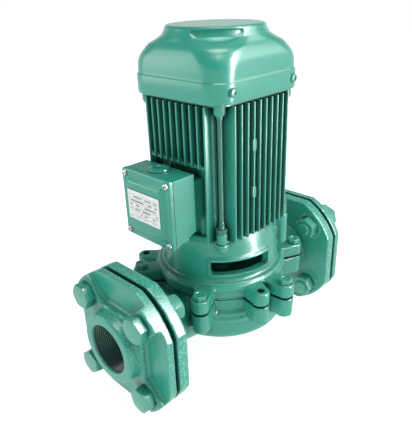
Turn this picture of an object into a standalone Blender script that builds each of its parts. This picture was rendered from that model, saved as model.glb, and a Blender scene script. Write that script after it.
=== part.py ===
"""In-line centrifugal water pump: flanged volute casing, lantern and finned vertical motor. Metres, +Z up.

The origin is on the motor axis, level with the bottom flats of the pipe flanges. The pipe axis lies along X.
"""

import math

import bmesh
import bpy
from mathutils import Matrix, Vector

mm = 0.001

# Pipe flanges: a 50 mm nominal size on a 120 mm bolt circle
flange_diameter = 155 * mm
flange_flat_width = 142 * mm
bolt_circle = 120 * mm
body_face_to_face = 272 * mm
body_flange_thickness = 13 * mm
companion_plate_thickness = 8.4 * mm
companion_block_height = 7 * mm
companion_block_width = 81 * mm
companion_lobe_width = 27 * mm
hub_diameter = 77 * mm
hub_height = 12 * mm
thread_bore = 52 * mm
passage_bore = 50 * mm
pipe_gasket_thickness = 4 * mm
pipe_gasket_diameter = 100 * mm
flange_bolt_diameter = 16 * mm
flange_bolt_across_flats = 24 * mm
flange_bolt_head_height = 10 * mm
flange_nut_height = 13 * mm
flange_bolt_tail = 3 * mm

# Volute casing
casing_diameter = 148 * mm
casing_upper_diameter = 144 * mm
casing_rib_width = 151 * mm
casing_floor_height = 41 * mm
casing_wall = 6 * mm
joint_height = 92.5 * mm
nozzle_diameter = 68 * mm
volute_diameter = 124 * mm
eye_plate_top = 72 * mm
eye_plate_thickness = 4 * mm
suction_pocket_diameter = 84 * mm

# Clamp lugs round the joint
lug_circle = 188 * mm
jack_lug_circle = 178 * mm
lug_diameter = 19 * mm
lug_draft = 1 * mm
lug_foot_height = 70 * mm
lug_angles = (-150, -90, -30, 30, 90, 150)
jack_lug_angles = (-109, 129)
casing_bolt_diameter = 8 * mm
casing_bolt_across_flats = 13 * mm
casing_bolt_head_height = 5.3 * mm
casing_bolt_reach = 18 * mm
casing_gasket_thickness = 1.2 * mm
casing_gasket_width = 7 * mm

# Lantern
lantern_flange_height = 14.7 * mm
lantern_flange_diameter = 150 * mm
lip_diameter = 144 * mm
lip_height = 3.7 * mm
dome_diameter = 133 * mm
dome_top_diameter = 116 * mm
lantern_height = 66.7 * mm
lantern_wall = 6 * mm
cover_thickness = 5.7 * mm
window_start = -146
window_end = -88
window_height = 16 * mm
window_sill = 26.7 * mm
window_frame = 2.5 * mm
seal_bore = 30 * mm
corner_boss_diameter = 14 * mm
corner_boss_height = 14 * mm
cable_column_height = 38 * mm

# Motor frame
frame_height = 138.7 * mm
frame_core_width = 96 * mm
frame_fin_reach = 61 * mm
frame_fin_bulge = 1.2 * mm
frame_core_crown = 0.6 * mm
frame_notch = 41.5 * mm
fin_count = 10
fin_thickness = 2.6 * mm
frame_bore = 87 * mm
tie_rod_place = 50 * mm
tie_rod_diameter = 6 * mm
tie_nut_across_flats = 10 * mm
tie_nut_height = 5 * mm
corner_lug_width = 9 * mm
corner_lug_height = 11 * mm

# Upper end shield and fan cowl
shield_thickness = 6 * mm
shield_inset = 3.9 * mm
shield_lug_drop = 9 * mm
rod_cap = 1.5 * mm
cowl_half_width = 62.4 * mm
cowl_corner_radius = 20.5 * mm
cowl_wall = 1.5 * mm
cowl_lip_rise = 3 * mm
cowl_step_rise = 22 * mm
cowl_height = 63 * mm
cowl_cap_radius = 49 * mm
cowl_screw_place = 45 * mm
cowl_screw_rise = 13 * mm
cowl_screw_diameter = 5 * mm
fan_diameter = 98 * mm
fan_blades = 8
fan_blade_height = 15 * mm

# Rotating parts and bearings
bearing_outer = 35 * mm
bearing_inner = 15 * mm
bearing_width = 11 * mm
bearing_balls = 8
ball_diameter = 4.4 * mm
rotor_diameter = 51 * mm
rotor_shaft_diameter = 18 * mm
core_space_below = 29 * mm
core_space_above = 34.7 * mm
winding_height = 19 * mm
impeller_diameter = 104 * mm
impeller_eye = 40 * mm
impeller_vanes = 6
shroud_thickness = 2.6 * mm
impeller_height = 13 * mm
impeller_seat_diameter = 12 * mm
fan_seat_diameter = 11 * mm
key_width = 4 * mm
seal_head_diameter = 26 * mm
seal_seat_height = 5 * mm

# Terminal box on the -X face of the motor
box_front = 94 * mm
box_back = 67 * mm
box_centre = 4 * mm
box_width = 70 * mm
box_bottom = 165 * mm
box_top = 236.5 * mm
box_wall = 3 * mm
box_slope_rise = 10 * mm
box_neck_width = 52 * mm
box_gasket_thickness = 0.8 * mm
lid_thickness = 4 * mm
lid_panel_height = 3.5 * mm
lid_panel_margin = 8 * mm
lid_screw_inset = 4.6 * mm
lid_screw_diameter = 4 * mm
plate_width = 47 * mm
plate_height = 31 * mm
entry_plug_diameter = 22 * mm
wire_hole_diameter = 16 * mm

# Clearances
gap = 0.3 * mm
bolt_clearance = 1.5 * mm
small_clearance = 0.5 * mm
running_clearance = 0.8 * mm
overlap = 1 * mm
cutter_length = 60 * mm

# Places that follow from the sizes above
axis_height = flange_flat_width / 2
body_half = body_face_to_face / 2
flange_back = body_half - body_flange_thickness
flange_gap = pipe_gasket_thickness + 2 * gap
companion_back = body_half + flange_gap
companion_front = companion_back + companion_plate_thickness
block_front = companion_front + companion_block_height
hub_front = block_front + hub_height
bolt_offset = bolt_circle / 2 / math.sqrt(2)
lantern_bottom = joint_height + casing_gasket_thickness + 2 * gap
lantern_flange_top = lantern_bottom + lantern_flange_height
lip_top = lantern_flange_top + lip_height
lantern_top = lantern_bottom + lantern_height
frame_bottom = lantern_top + gap
frame_top = frame_bottom + frame_height
shield_bottom = frame_top + gap
shield_top = shield_bottom + shield_thickness
shield_half_width = cowl_half_width - cowl_wall - shield_inset
cowl_lip_height = frame_top + cowl_lip_rise
cowl_step_height = frame_top + cowl_step_rise
cowl_screw_height = frame_top + cowl_screw_rise
cowl_top = cowl_lip_height + cowl_height
lower_bearing_bottom = lantern_top - bearing_width
upper_bearing_bottom = shield_bottom - 10 * mm
upper_bearing_top = upper_bearing_bottom + bearing_width
core_bottom = frame_bottom + core_space_below
core_top = frame_top - core_space_above
volute_floor = eye_plate_top
impeller_top = lantern_bottom - cover_thickness + 2 * mm - running_clearance
impeller_bottom = impeller_top - impeller_height
cover_underside = impeller_top + running_clearance
shaft_bottom = impeller_bottom - 5 * mm
fan_bottom = shield_top + 6 * mm
fan_top = fan_bottom + 3 * mm + fan_blade_height
shaft_top = fan_top + 2 * mm
shaft_radius = bearing_inner / 2 - gap
lid_back = box_front + box_gasket_thickness + 2 * gap
lid_front = lid_back + lid_thickness
panel_front = lid_front + lid_panel_height
box_middle = (box_bottom + box_top) / 2
box_height = box_top - box_bottom
frame_core_half = frame_core_width / 2

for old in list(bpy.data.objects):
    bpy.data.objects.remove(old, do_unlink=True)

parts = bpy.data.collections.new("inline_water_pump")
helpers = bpy.data.collections.new("cutters")
bpy.context.scene.collection.children.link(parts)
bpy.context.scene.collection.children.link(helpers)


def material(name, color, roughness, metallic=0.0):
    made = bpy.data.materials.new(name)
    made.use_nodes = True
    shader = made.node_tree.nodes["Principled BSDF"]
    shader.inputs["Base Color"].default_value = (*color, 1)
    shader.inputs["Roughness"].default_value = roughness
    shader.inputs["Metallic"].default_value = metallic
    return made


enamel = material("green_enamel_casting", (0.045, 0.40, 0.29), 0.38)
gloss_enamel = material("green_enamel_gloss", (0.05, 0.42, 0.31), 0.22)
dark_rubber = material("dark_gasket", (0.02, 0.035, 0.03), 0.8)
bright_steel = material("bright_steel", (0.62, 0.63, 0.62), 0.3, 1.0)
ground_steel = material("ground_shaft_steel", (0.55, 0.56, 0.57), 0.22, 1.0)
lamination = material("lamination_steel", (0.25, 0.26, 0.27), 0.5, 0.8)
copper = material("varnished_copper", (0.55, 0.22, 0.08), 0.35, 0.9)
cast_iron = material("bare_cast_iron", (0.12, 0.12, 0.12), 0.6, 0.4)
ceramic = material("seal_ceramic", (0.75, 0.73, 0.68), 0.25)
black_plastic = material("black_plastic", (0.03, 0.03, 0.03), 0.45)
label_white = material("label_white", (0.85, 0.86, 0.84), 0.35)


def add_object(name, mesh, place=(0, 0, 0), turn=(0, 0, 0), finish=None):
    """Link a new object: with a finish it is a part, and without one it is a wire helper."""
    made = bpy.data.objects.new(name, mesh)
    made.location = place
    made.rotation_euler = turn
    if finish:
        parts.objects.link(made)
        made.data.materials.clear()
        made.data.materials.append(finish)
    else:
        helpers.objects.link(made)
        made.hide_render = True
        made.display_type = "WIRE"
    return made


def finish_mesh(name, shape, round_edges=True):
    bmesh.ops.recalc_face_normals(shape, faces=shape.faces)
    mesh = bpy.data.meshes.new(name)
    shape.to_mesh(mesh)
    shape.free()
    if round_edges:
        mesh.shade_smooth()
        mesh.set_sharp_from_angle(angle=math.radians(35))
    return mesh


def box(name, size, place, finish=None, turn=(0, 0, 0)):
    shape = bmesh.new()
    bmesh.ops.create_cube(shape, size=1, matrix=Matrix.Diagonal((*size, 1)))
    return add_object(name, finish_mesh(name, shape, False), place, turn, finish)


def cylinder(name, radius, height, place, finish=None, segments=32, top_radius=None, along="Z", spin=0.0):
    """A cylinder, cone or prism whose middle is at place."""
    shape = bmesh.new()
    upper = radius if top_radius is None else top_radius
    bmesh.ops.create_cone(
        shape, cap_ends=True, segments=segments, radius1=radius, radius2=upper, depth=height,
        matrix=Matrix.Rotation(spin, 4, "Z"))
    turn = (0, math.pi / 2, 0) if along == "X" else (math.pi / 2, 0, 0) if along == "Y" else (0, 0, 0)
    return add_object(name, finish_mesh(name, shape), place, turn, finish)


def hexagon(name, across_flats, height, place, along="Z", spin=0.0, finish=None):
    return cylinder(name, across_flats / math.sqrt(3), height, place, finish, 6, along=along, spin=spin)


def turned(name, profile, finish=None, segments=32, closed=True, place=(0, 0, 0), turn=(0, 0, 0)):
    """A profile of (radius, height) points, listed down its outer side, turned round Z by a Screw modifier."""
    mesh = bpy.data.meshes.new(name)
    count = len(profile)
    edges = [(i, (i + 1) % count) for i in range(count if closed else count - 1)]
    mesh.from_pydata([(radius, 0, height) for radius, height in profile], edges, [])
    made = add_object(name, mesh, place, turn, finish)
    screw = made.modifiers.new("turn", "SCREW")
    screw.steps = segments
    screw.render_steps = segments
    screw.use_merge_vertices = True
    screw.merge_threshold = 0.00001
    screw.use_smooth_shade = True
    return made


def ring(name, outer, inner, bottom, top, finish=None, segments=32):
    profile = ((outer, top), (outer, bottom), (inner, bottom), (inner, top))
    return turned(name, profile, finish, segments)


def outline(name, points, bottom, top, holes=(), finish=None):
    """A flat outline with holes, extruded from bottom to top."""
    curve = bpy.data.curves.new(name, "CURVE")
    curve.dimensions = "2D"
    curve.fill_mode = "BOTH"
    curve.extrude = (top - bottom) / 2
    for loop in (points, *holes):
        spline = curve.splines.new("POLY")
        spline.points.add(len(loop) - 1)
        for point, (x, y) in zip(spline.points, loop):
            point.co = (x, y, 0, 1)
        spline.use_cyclic_u = True
    guide = bpy.data.objects.new(f"{name}_guide", curve)
    helpers.objects.link(guide)
    guide.location = (0, 0, (bottom + top) / 2)
    made = add_object(name, mesh_of(guide), finish=finish)
    bpy.data.objects.remove(guide, do_unlink=True)
    return made


def mesh_of(source):
    """The evaluated mesh of an object or curve in world space, with its loose caps welded."""
    bpy.context.view_layer.update()
    graph = bpy.context.evaluated_depsgraph_get()
    mesh = bpy.data.meshes.new_from_object(source.evaluated_get(graph))
    mesh.transform(source.matrix_world)
    shape = bmesh.new()
    shape.from_mesh(mesh)
    bmesh.ops.remove_doubles(shape, verts=shape.verts, dist=0.000001)
    bmesh.ops.recalc_face_normals(shape, faces=shape.faces)
    shape.to_mesh(mesh)
    shape.free()
    return mesh


def circle(radius, segments, centre=(0, 0)):
    turns = [math.tau * i / segments for i in range(segments)]
    return [(centre[0] + radius * math.cos(turn), centre[1] + radius * math.sin(turn)) for turn in turns]


def loft(name, sections, finish=None):
    """A closed skin through sections that have equal numbers of points, with flat ends."""
    shape = bmesh.new()
    rings = [[shape.verts.new(point) for point in section] for section in sections]
    for first, second in zip(rings, rings[1:]):
        for i, start in enumerate(first):
            after = (i + 1) % len(first)
            shape.faces.new((start, first[after], second[after], second[i]))
    shape.faces.new(rings[0])
    shape.faces.new(reversed(rings[-1]))
    return add_object(name, finish_mesh(name, shape), finish=finish)


def boolean(target, operation, *tools):
    for tool in tools:
        change = target.modifiers.new(f"{operation.lower()}_{tool.name}"[:60], "BOOLEAN")
        change.operation = operation
        change.solver = "EXACT"
        change.object = tool
    return target


def join(target, *tools):
    return boolean(target, "UNION", *tools)


def cut(target, *tools):
    return boolean(target, "DIFFERENCE", *tools)


def grouped(name, *pieces):
    """One helper that holds the separate bodies of several, so that one Boolean takes them all."""
    shape = bmesh.new()
    for piece in pieces:
        shape.from_mesh(mesh_of(piece))
        bpy.data.objects.remove(piece, do_unlink=True)
    mesh = bpy.data.meshes.new(name)
    shape.to_mesh(mesh)
    shape.free()
    return add_object(name, mesh)


def baked(source, *tools):
    """The finished mesh of an object with Booleans, whose helpers are then removed."""
    mesh = mesh_of(source)
    mesh.shade_smooth()
    mesh.set_sharp_from_angle(angle=math.radians(35))
    for used in (source, *tools):
        bpy.data.objects.remove(used, do_unlink=True)
    return mesh


def around(radius, degrees):
    angle = math.radians(degrees)
    return radius * math.cos(angle), radius * math.sin(angle)


def corners(place):
    return [(sx * place, sy * place) for sx in (-1, 1) for sy in (-1, 1)]


lug_places = [around(lug_circle / 2, angle) for angle in lug_angles]
jack_places = [around(jack_lug_circle / 2, angle) for angle in jack_lug_angles]
flange_bolt_places = [(sy * bolt_offset, axis_height + sz * bolt_offset) for sy in (-1, 1) for sz in (-1, 1)]


def flange_disc(name, inner_face, outer_face):
    """A round plate along X, cut to a square by its four flats."""
    thickness = abs(outer_face - inner_face)
    place = ((inner_face + outer_face) / 2, 0, axis_height)
    disc = cylinder(name, flange_diameter / 2, thickness, place, segments=48, along="X")
    square = box(f"{name}_flats", (thickness * 3, flange_flat_width, flange_flat_width), place)
    mesh = mesh_of(boolean(disc, "INTERSECT", square))
    for used in (disc, square):
        bpy.data.objects.remove(used, do_unlink=True)
    return add_object(name, mesh)


def bolt_holes(name, side):
    """Clearance holes for the pipe flange bolts, through both flanges of one side."""
    middle = side * (flange_back + block_front) / 2
    length = block_front - flange_back + 20 * mm
    radius = flange_bolt_diameter / 2 + bolt_clearance
    holes = [
        cylinder(f"{name}_{i}", radius, length, (middle, y, z), segments=12, along="X")
        for i, (y, z) in enumerate(flange_bolt_places)
    ]
    return grouped(name, *holes)


def block_outline():
    """A square boss with a lobe towards each bolt. The lobes run past the rim, which trims them."""
    half = companion_block_width / 2
    lobe = companion_lobe_width / 2
    end = flange_diameter * 0.6
    quarter_points = [
        (half, half - lobe * math.sqrt(2)),
        ((end + lobe) / math.sqrt(2), (end - lobe) / math.sqrt(2)),
        ((end - lobe) / math.sqrt(2), (end + lobe) / math.sqrt(2)),
        (half - lobe * math.sqrt(2), half),
    ]
    points = []
    for quarter in range(4):
        turn = Matrix.Rotation(quarter * math.pi / 2, 2)
        points += [tuple(turn @ Vector(point)) for point in quarter_points]
    return points


def companion_flange_mesh():
    """The loose flange that the pipe screws into, in its place on the +X side."""
    plate = flange_disc("companion_plate", companion_back, companion_front)
    depth = companion_block_height + overlap
    block = outline("companion_block", block_outline(), -depth / 2, depth / 2)
    block.rotation_euler = (0, math.pi / 2, 0)
    block.location = (block_front - depth / 2, 0, axis_height)
    rim = flange_disc("companion_rim", companion_back + overlap, block_front + 4 * overlap)
    boolean(block, "INTERSECT", rim)
    hub = cylinder("companion_hub", hub_diameter / 2, hub_front - companion_front,
                   ((companion_front + hub_front) / 2, 0, axis_height), segments=40, along="X")
    bore = cylinder("companion_bore", thread_bore / 2, cutter_length, (hub_front, 0, axis_height),
                    segments=32, along="X")
    holes = bolt_holes("companion_bolt_holes", 1)
    join(plate, block, hub)
    cut(plate, bore, holes)
    return baked(plate, block, rim, hub, bore, holes)


def flange_bolt_mesh():
    """A hexagon bolt with its nut, along X, with the underside of the head at the origin."""
    grip = block_front - flange_back + 2 * gap
    length = grip + flange_nut_height + flange_bolt_tail
    shank = cylinder("bolt_shank", flange_bolt_diameter / 2, length + overlap, ((overlap - length) / 2, 0, 0),
                     segments=12, along="X")
    head = hexagon("bolt_head", flange_bolt_across_flats, flange_bolt_head_height,
                   (flange_bolt_head_height / 2, 0, 0), along="X")
    nut = hexagon("bolt_nut", flange_bolt_across_flats, flange_nut_height,
                  (-grip - flange_nut_height / 2, 0, 0), along="X", spin=math.radians(12))
    return baked(join(shank, head, nut), head, nut)


def flange_sets():
    """Companion flanges, their gaskets and their bolts, on both sides."""
    bolt = flange_bolt_mesh()
    flange = companion_flange_mesh()
    for side, label in ((-1, "near"), (1, "far")):
        half_turn = (0, 0, 0) if side > 0 else (0, 0, math.pi)
        add_object(f"companion_flange_{label}", flange, turn=half_turn, finish=enamel)
        turned(
            f"pipe_gasket_{label}",
            ((pipe_gasket_diameter / 2, pipe_gasket_thickness / 2),
             (pipe_gasket_diameter / 2, -pipe_gasket_thickness / 2),
             (passage_bore / 2, -pipe_gasket_thickness / 2),
             (passage_bore / 2, pipe_gasket_thickness / 2)),
            dark_rubber, 32,
            place=(side * (body_half + flange_gap / 2), 0, axis_height), turn=(0, math.pi / 2, 0))
        for i, (y, z) in enumerate(flange_bolt_places, 1):
            add_object(f"flange_bolt_{label}_{i}", bolt, (side * (block_front + gap), y, z), half_turn, enamel)


def oval_section(x, half_width, bottom, top, power=2.0, count=24):
    """A section across the pipe axis: an ellipse at power 2, and squarer above that."""
    points = []
    for i in range(count):
        turn = math.tau * i / count
        across, up = math.cos(turn), math.sin(turn)
        y = half_width * math.copysign(abs(across) ** (2 / power), across)
        z = (bottom + top) / 2 + (top - bottom) / 2 * math.copysign(abs(up) ** (2 / power), up)
        points.append((x, y, z))
    return points


def nozzle(name, side):
    """The outside of a pipe branch, which flattens where it runs under the lantern flange."""
    radius = nozzle_diameter / 2
    wide = radius * 1.2
    inner_top = joint_height - gap
    inner_bottom = casing_floor_height + overlap
    tip = casing_upper_diameter / 2 + 6 * mm
    return loft(name, [
        oval_section(side * (flange_back + overlap), radius, axis_height - radius, axis_height + radius),
        oval_section(side * (flange_back - 18 * mm), radius, axis_height - radius, axis_height + radius * 0.95),
        oval_section(side * (tip + 6 * mm), radius * 1.06, axis_height - radius * 0.9, inner_top + 3 * mm, 2.2),
        oval_section(side * tip, radius * 1.1, inner_bottom, inner_top, 2.4),
        oval_section(side * (tip - 24 * mm), wide, inner_bottom + overlap, inner_top - overlap, 2.6),
    ])


def suction_passage():
    """The hollow from the -X port, down under the eye plate."""
    radius = passage_bore / 2
    floor = casing_floor_height + casing_wall
    roof = eye_plate_top - eye_plate_thickness
    half_volute = volute_diameter / 2
    half_pocket = suction_pocket_diameter / 2
    return loft("suction_passage", [
        oval_section(-body_half - overlap, radius, axis_height - radius, axis_height + radius),
        oval_section(-half_volute - 40 * mm, radius, axis_height - radius, axis_height + radius),
        oval_section(-half_volute - 4 * mm, radius * 1.1, floor, roof, 2.6),
        oval_section(-half_pocket + 8 * mm, radius * 1.1, floor, roof, 2.6),
    ])


def discharge_passage():
    """The hollow from the volute chamber out to the +X port."""
    radius = passage_bore / 2
    half_volute = volute_diameter / 2
    chamber_top = joint_height - 4 * mm
    return loft("discharge_passage", [
        oval_section(half_volute - 16 * mm, radius * 0.9, volute_floor + overlap, chamber_top, 2.6),
        oval_section(half_volute + 2 * mm, radius * 0.95, volute_floor, chamber_top, 2.4),
        oval_section(half_volute + 40 * mm, radius, axis_height - radius, axis_height + radius),
        oval_section(body_half + overlap, radius, axis_height - radius, axis_height + radius),
    ])


def lug_columns(name, bottom, top, lower_radius, upper_radius):
    """Round columns for the clamp bolts, each with a web that reaches back into the wall."""
    pieces = []
    for x, y in lug_places + jack_places:
        reach = math.hypot(x, y)
        angle = math.atan2(y, x)
        middle = (bottom + top) / 2
        inner = lantern_flange_diameter / 2 - 6 * mm
        pieces.append(cylinder(f"{name}_column", lower_radius, top - bottom, (x, y, middle),
                               segments=10, top_radius=upper_radius))
        length = reach - inner
        web = box(f"{name}_web", (length, upper_radius * 1.7, top - bottom - 2 * overlap),
                  ((inner + length / 2) * math.cos(angle), (inner + length / 2) * math.sin(angle), middle),
                  turn=(0, 0, angle))
        pieces.append(web)
    return pieces


def clamp_holes(name, radius, bottom, top):
    pieces = [
        cylinder(f"{name}_hole", radius, top - bottom, (x, y, (bottom + top) / 2), segments=8)
        for x, y in lug_places + jack_places
    ]
    return grouped(name, *pieces)


def pump_body():
    """The volute casing with both pipe branches and flanges."""
    outer = casing_diameter / 2
    upper = casing_upper_diameter / 2
    rib = casing_rib_width / 2
    rounding = 5 * mm
    profile = [
        (0, joint_height), (upper, joint_height), (upper, axis_height + 6 * mm),
        (rib, axis_height + 5 * mm), (rib, axis_height + 3 * mm),
        (outer, axis_height + 2 * mm), (outer, axis_height - overlap),
        (rib, axis_height - 2 * mm), (rib, axis_height - 4 * mm), (outer, axis_height - 5 * mm),
        (outer, casing_floor_height + rounding), (outer - 1.5 * mm, casing_floor_height + 1.5 * mm),
        (outer - rounding, casing_floor_height), (0, casing_floor_height),
    ]
    body = turned("pump_body", profile, enamel, 40, closed=False)
    columns = lug_columns("casing_lug", lug_foot_height, joint_height, lug_diameter / 2 - lug_draft, lug_diameter / 2)
    for column in columns:
        join(body, column)
    for side, label in ((-1, "suction"), (1, "discharge")):
        join(body, nozzle(f"{label}_branch", side))
        join(body, flange_disc(f"{label}_flange", side * flange_back, side * body_half))
    chamber_height = joint_height - volute_floor + overlap
    chamber = cylinder("volute_chamber", volute_diameter / 2, chamber_height,
                       (0, 0, volute_floor + chamber_height / 2), segments=40)
    pocket_height = eye_plate_top - eye_plate_thickness - casing_floor_height - casing_wall
    pocket = cylinder("suction_pocket", suction_pocket_diameter / 2, pocket_height,
                      (0, 0, casing_floor_height + casing_wall + pocket_height / 2), segments=32)
    eye = cylinder("eye_hole", impeller_eye / 2 + shroud_thickness + running_clearance, 4 * eye_plate_thickness,
                   (0, 0, eye_plate_top), segments=32)
    cut(body, chamber, pocket, suction_passage(), discharge_passage(), eye)
    cut(body, bolt_holes("near_body_holes", -1), bolt_holes("far_body_holes", 1))
    cut(body, clamp_holes("casing_thread_holes", casing_bolt_diameter / 2 + gap,
                          joint_height - casing_bolt_reach, joint_height + overlap))
    return body


def casing_joint():
    """The gasket and the hexagon bolts that clamp the lantern to the casing."""
    outer = casing_upper_diameter / 2 - overlap
    ring("casing_gasket", outer, outer - casing_gasket_width, joint_height + gap,
         joint_height + gap + casing_gasket_thickness, dark_rubber, 40)
    reach = lantern_flange_top + gap - joint_height + casing_bolt_reach - 2 * mm
    shank = cylinder("clamp_shank", casing_bolt_diameter / 2, reach + overlap, (0, 0, (overlap - reach) / 2),
                     segments=8)
    head = hexagon("clamp_head", casing_bolt_across_flats, casing_bolt_head_height,
                   (0, 0, casing_bolt_head_height / 2))
    mesh = baked(join(shank, head), head)
    for i, (x, y) in enumerate(lug_places, 1):
        turn = (0, 0, math.atan2(y, x))
        add_object(f"casing_bolt_{i}", mesh, (x, y, lantern_flange_top + gap), turn, enamel)


def sector(name, inner, outer, start, end, bottom, top, steps=8):
    """A block that follows a stretch of a ring, from start to end in degrees."""
    angles = [start + (end - start) * i / steps for i in range(steps + 1)]
    points = [around(outer, angle) for angle in angles] + [around(inner, angle) for angle in reversed(angles)]
    return outline(name, points, bottom, top)


def lantern():
    """The bracket between casing and motor: cover, seal housing, windows and lower bearing housing."""
    flange = lantern_flange_diameter / 2
    lip = lip_diameter / 2
    dome = dome_diameter / 2
    top = dome_top_diameter / 2
    wall = lantern_wall
    skirt = casing_upper_diameter / 2
    spigot = volute_diameter / 2 - gap
    shaft_hole = shaft_radius + 1.5 * mm
    cover_top = lantern_bottom + cover_thickness
    roof = lower_bearing_bottom - 4 * mm
    seal_shoulder = cover_underside + 11.8 * mm
    profile = (
        (top, lantern_top), (top + 3 * mm, lantern_top - 5 * mm), (dome - 2 * mm, lantern_top - 20 * mm),
        (dome, lip_top), (lip, lip_top), (lip, lantern_flange_top),
        (flange, lantern_flange_top), (flange, lantern_flange_top - 4 * mm),
        (skirt, lantern_flange_top - 5 * mm), (skirt, lantern_bottom),
        (spigot, lantern_bottom), (spigot, cover_underside), (seal_bore / 2, cover_underside),
        (seal_bore / 2, seal_shoulder), (shaft_hole, seal_shoulder), (shaft_hole, seal_shoulder + 4 * mm),
        (seal_bore / 2 + 5 * mm, seal_shoulder + 4 * mm), (seal_bore / 2 + 7 * mm, cover_top),
        (dome - wall - 6 * mm, cover_top), (dome - wall, cover_top + 8 * mm), (dome - wall - overlap, roof - 12 * mm),
        (dome - wall - 8 * mm, roof), (bearing_outer / 2 + 7 * mm, roof),
        (bearing_outer / 2 + 5 * mm, roof - 3 * mm), (shaft_hole, roof - 3 * mm),
        (shaft_hole, lower_bearing_bottom - gap),
        (bearing_outer / 2 + gap, lower_bearing_bottom - gap), (bearing_outer / 2 + gap, lantern_top),
    )
    body = turned("lantern", profile, enamel, 40)
    for column in lug_columns("lantern_lug", lantern_bottom, lantern_flange_top,
                              lug_diameter / 2, lug_diameter / 2):
        join(body, column)
    for i, (x, y) in enumerate(corners(tie_rod_place)):
        height = cable_column_height if x > 0 > y else corner_boss_height
        middle = lantern_top - height / 2
        inward = math.atan2(y, x)
        boss = cylinder(f"corner_boss_{i}", corner_boss_diameter / 2 - overlap, height, (x, y, middle),
                        segments=12, top_radius=corner_boss_diameter / 2)
        reach = math.hypot(x, y)
        length = reach - top + 10 * mm
        web = box(f"corner_web_{i}", (length, corner_boss_diameter * 0.8, height - 2 * overlap),
                  (math.cos(inward) * (reach - length / 2), math.sin(inward) * (reach - length / 2), middle),
                  turn=(0, 0, inward))
        join(body, boss, web)
    sill = lantern_bottom + window_sill
    frames = []
    openings = []
    for i, turn in enumerate((0, 180)):
        start, end = window_start + turn, window_end + turn
        frames.append(sector(f"window_frame_{i}", dome - wall + overlap, dome + overlap, start - 2.5, end + 2.5,
                             sill - window_frame, sill + window_height + window_frame))
        openings.append(sector(f"window_{i}", dome - 3 * wall, dome + 3 * wall, start, end,
                               sill, sill + window_height))
    join(body, *frames)
    cut(body, *openings)
    rods = [
        cylinder(f"rod_thread_{i}", tie_rod_diameter / 2 + gap, 24 * mm, (x, y, lantern_top), segments=8)
        for i, (x, y) in enumerate(corners(tie_rod_place))
    ]
    cut(body, grouped("rod_threads", *rods))
    cut(body, clamp_holes("lantern_bolt_holes", casing_bolt_diameter / 2 + small_clearance,
                          lantern_bottom - overlap, lantern_flange_top + overlap))
    return body


def crowned(reach, crown, across):
    """A distance from the axis that is largest at the middle of a face."""
    share = across / frame_notch
    return reach + crown * (1 - share * share)


def frame_outline():
    """The section of the motor frame: four faces of fins between recessed corners."""
    half = fin_thickness / 2
    first = -frame_notch + half
    pitch = -2 * first / (fin_count - 1)
    face = []
    for i in range(fin_count):
        middle = first + pitch * i
        tip = crowned(frame_fin_reach, frame_fin_bulge, middle)
        low = frame_notch if i == 0 else crowned(frame_core_half, frame_core_crown, middle - half)
        high = frame_notch if i == fin_count - 1 else crowned(frame_core_half, frame_core_crown, middle + half)
        face += [(low, middle - half), (tip, middle - half), (tip, middle + half), (high, middle + half)]
    points = []
    for quarter in range(4):
        turn = Matrix.Rotation(quarter * math.pi / 2, 2)
        points += [tuple(turn @ Vector(point)) for point in face[:-1]]
    return points


def motor_frame():
    frame = outline("motor_frame", frame_outline(), frame_bottom, frame_top, [circle(frame_bore / 2, 40)], enamel)
    inner = frame_notch - overlap
    outer = tie_rod_place + corner_lug_width / 2
    middle = (inner + outer) / 2
    for i, (sx, sy) in enumerate(corners(1)):
        lug = box(f"frame_lug_{i}", (outer - inner, outer - inner, corner_lug_height),
                  (sx * middle, sy * middle, frame_bottom + corner_lug_height / 2))
        join(frame, lug)
    ledge = box_top + 3 * mm
    seat = box("box_seat", (frame_fin_reach, 2 * (frame_notch - fin_thickness - gap), ledge - frame_bottom + 20 * mm),
               (-frame_core_half - 2 * mm - frame_fin_reach / 2, 0, (ledge + frame_bottom - 20 * mm) / 2))
    wires = cylinder("frame_wire_hole", wire_hole_diameter / 2, cutter_length / 2,
                     (-frame_core_half, 0, box_middle), segments=12, along="X")
    cut(frame, seat, wires)
    rods = [
        cylinder(f"frame_rod_hole_{i}", tie_rod_diameter / 2 + gap, cutter_length, (x, y, frame_bottom), segments=8)
        for i, (x, y) in enumerate(corners(tie_rod_place))
    ]
    cut(frame, grouped("frame_rod_holes", *rods))
    return frame


def rounded_square(half_width, corner_radius, height, count=40):
    """Points at equal angles round a square with round corners; a large corner radius makes it a circle."""
    centre = half_width - corner_radius
    points = []
    for i in range(count):
        angle = math.tau * (i + 0.5) / count
        across, up = sorted((abs(math.cos(angle)), abs(math.sin(angle))), reverse=True)
        reach = half_width / across
        if reach * up > centre:
            along = centre * (across + up)
            reach = along + math.sqrt(along * along - 2 * centre * centre + corner_radius ** 2)
        points.append((reach * math.cos(angle), reach * math.sin(angle), height))
    return points


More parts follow.
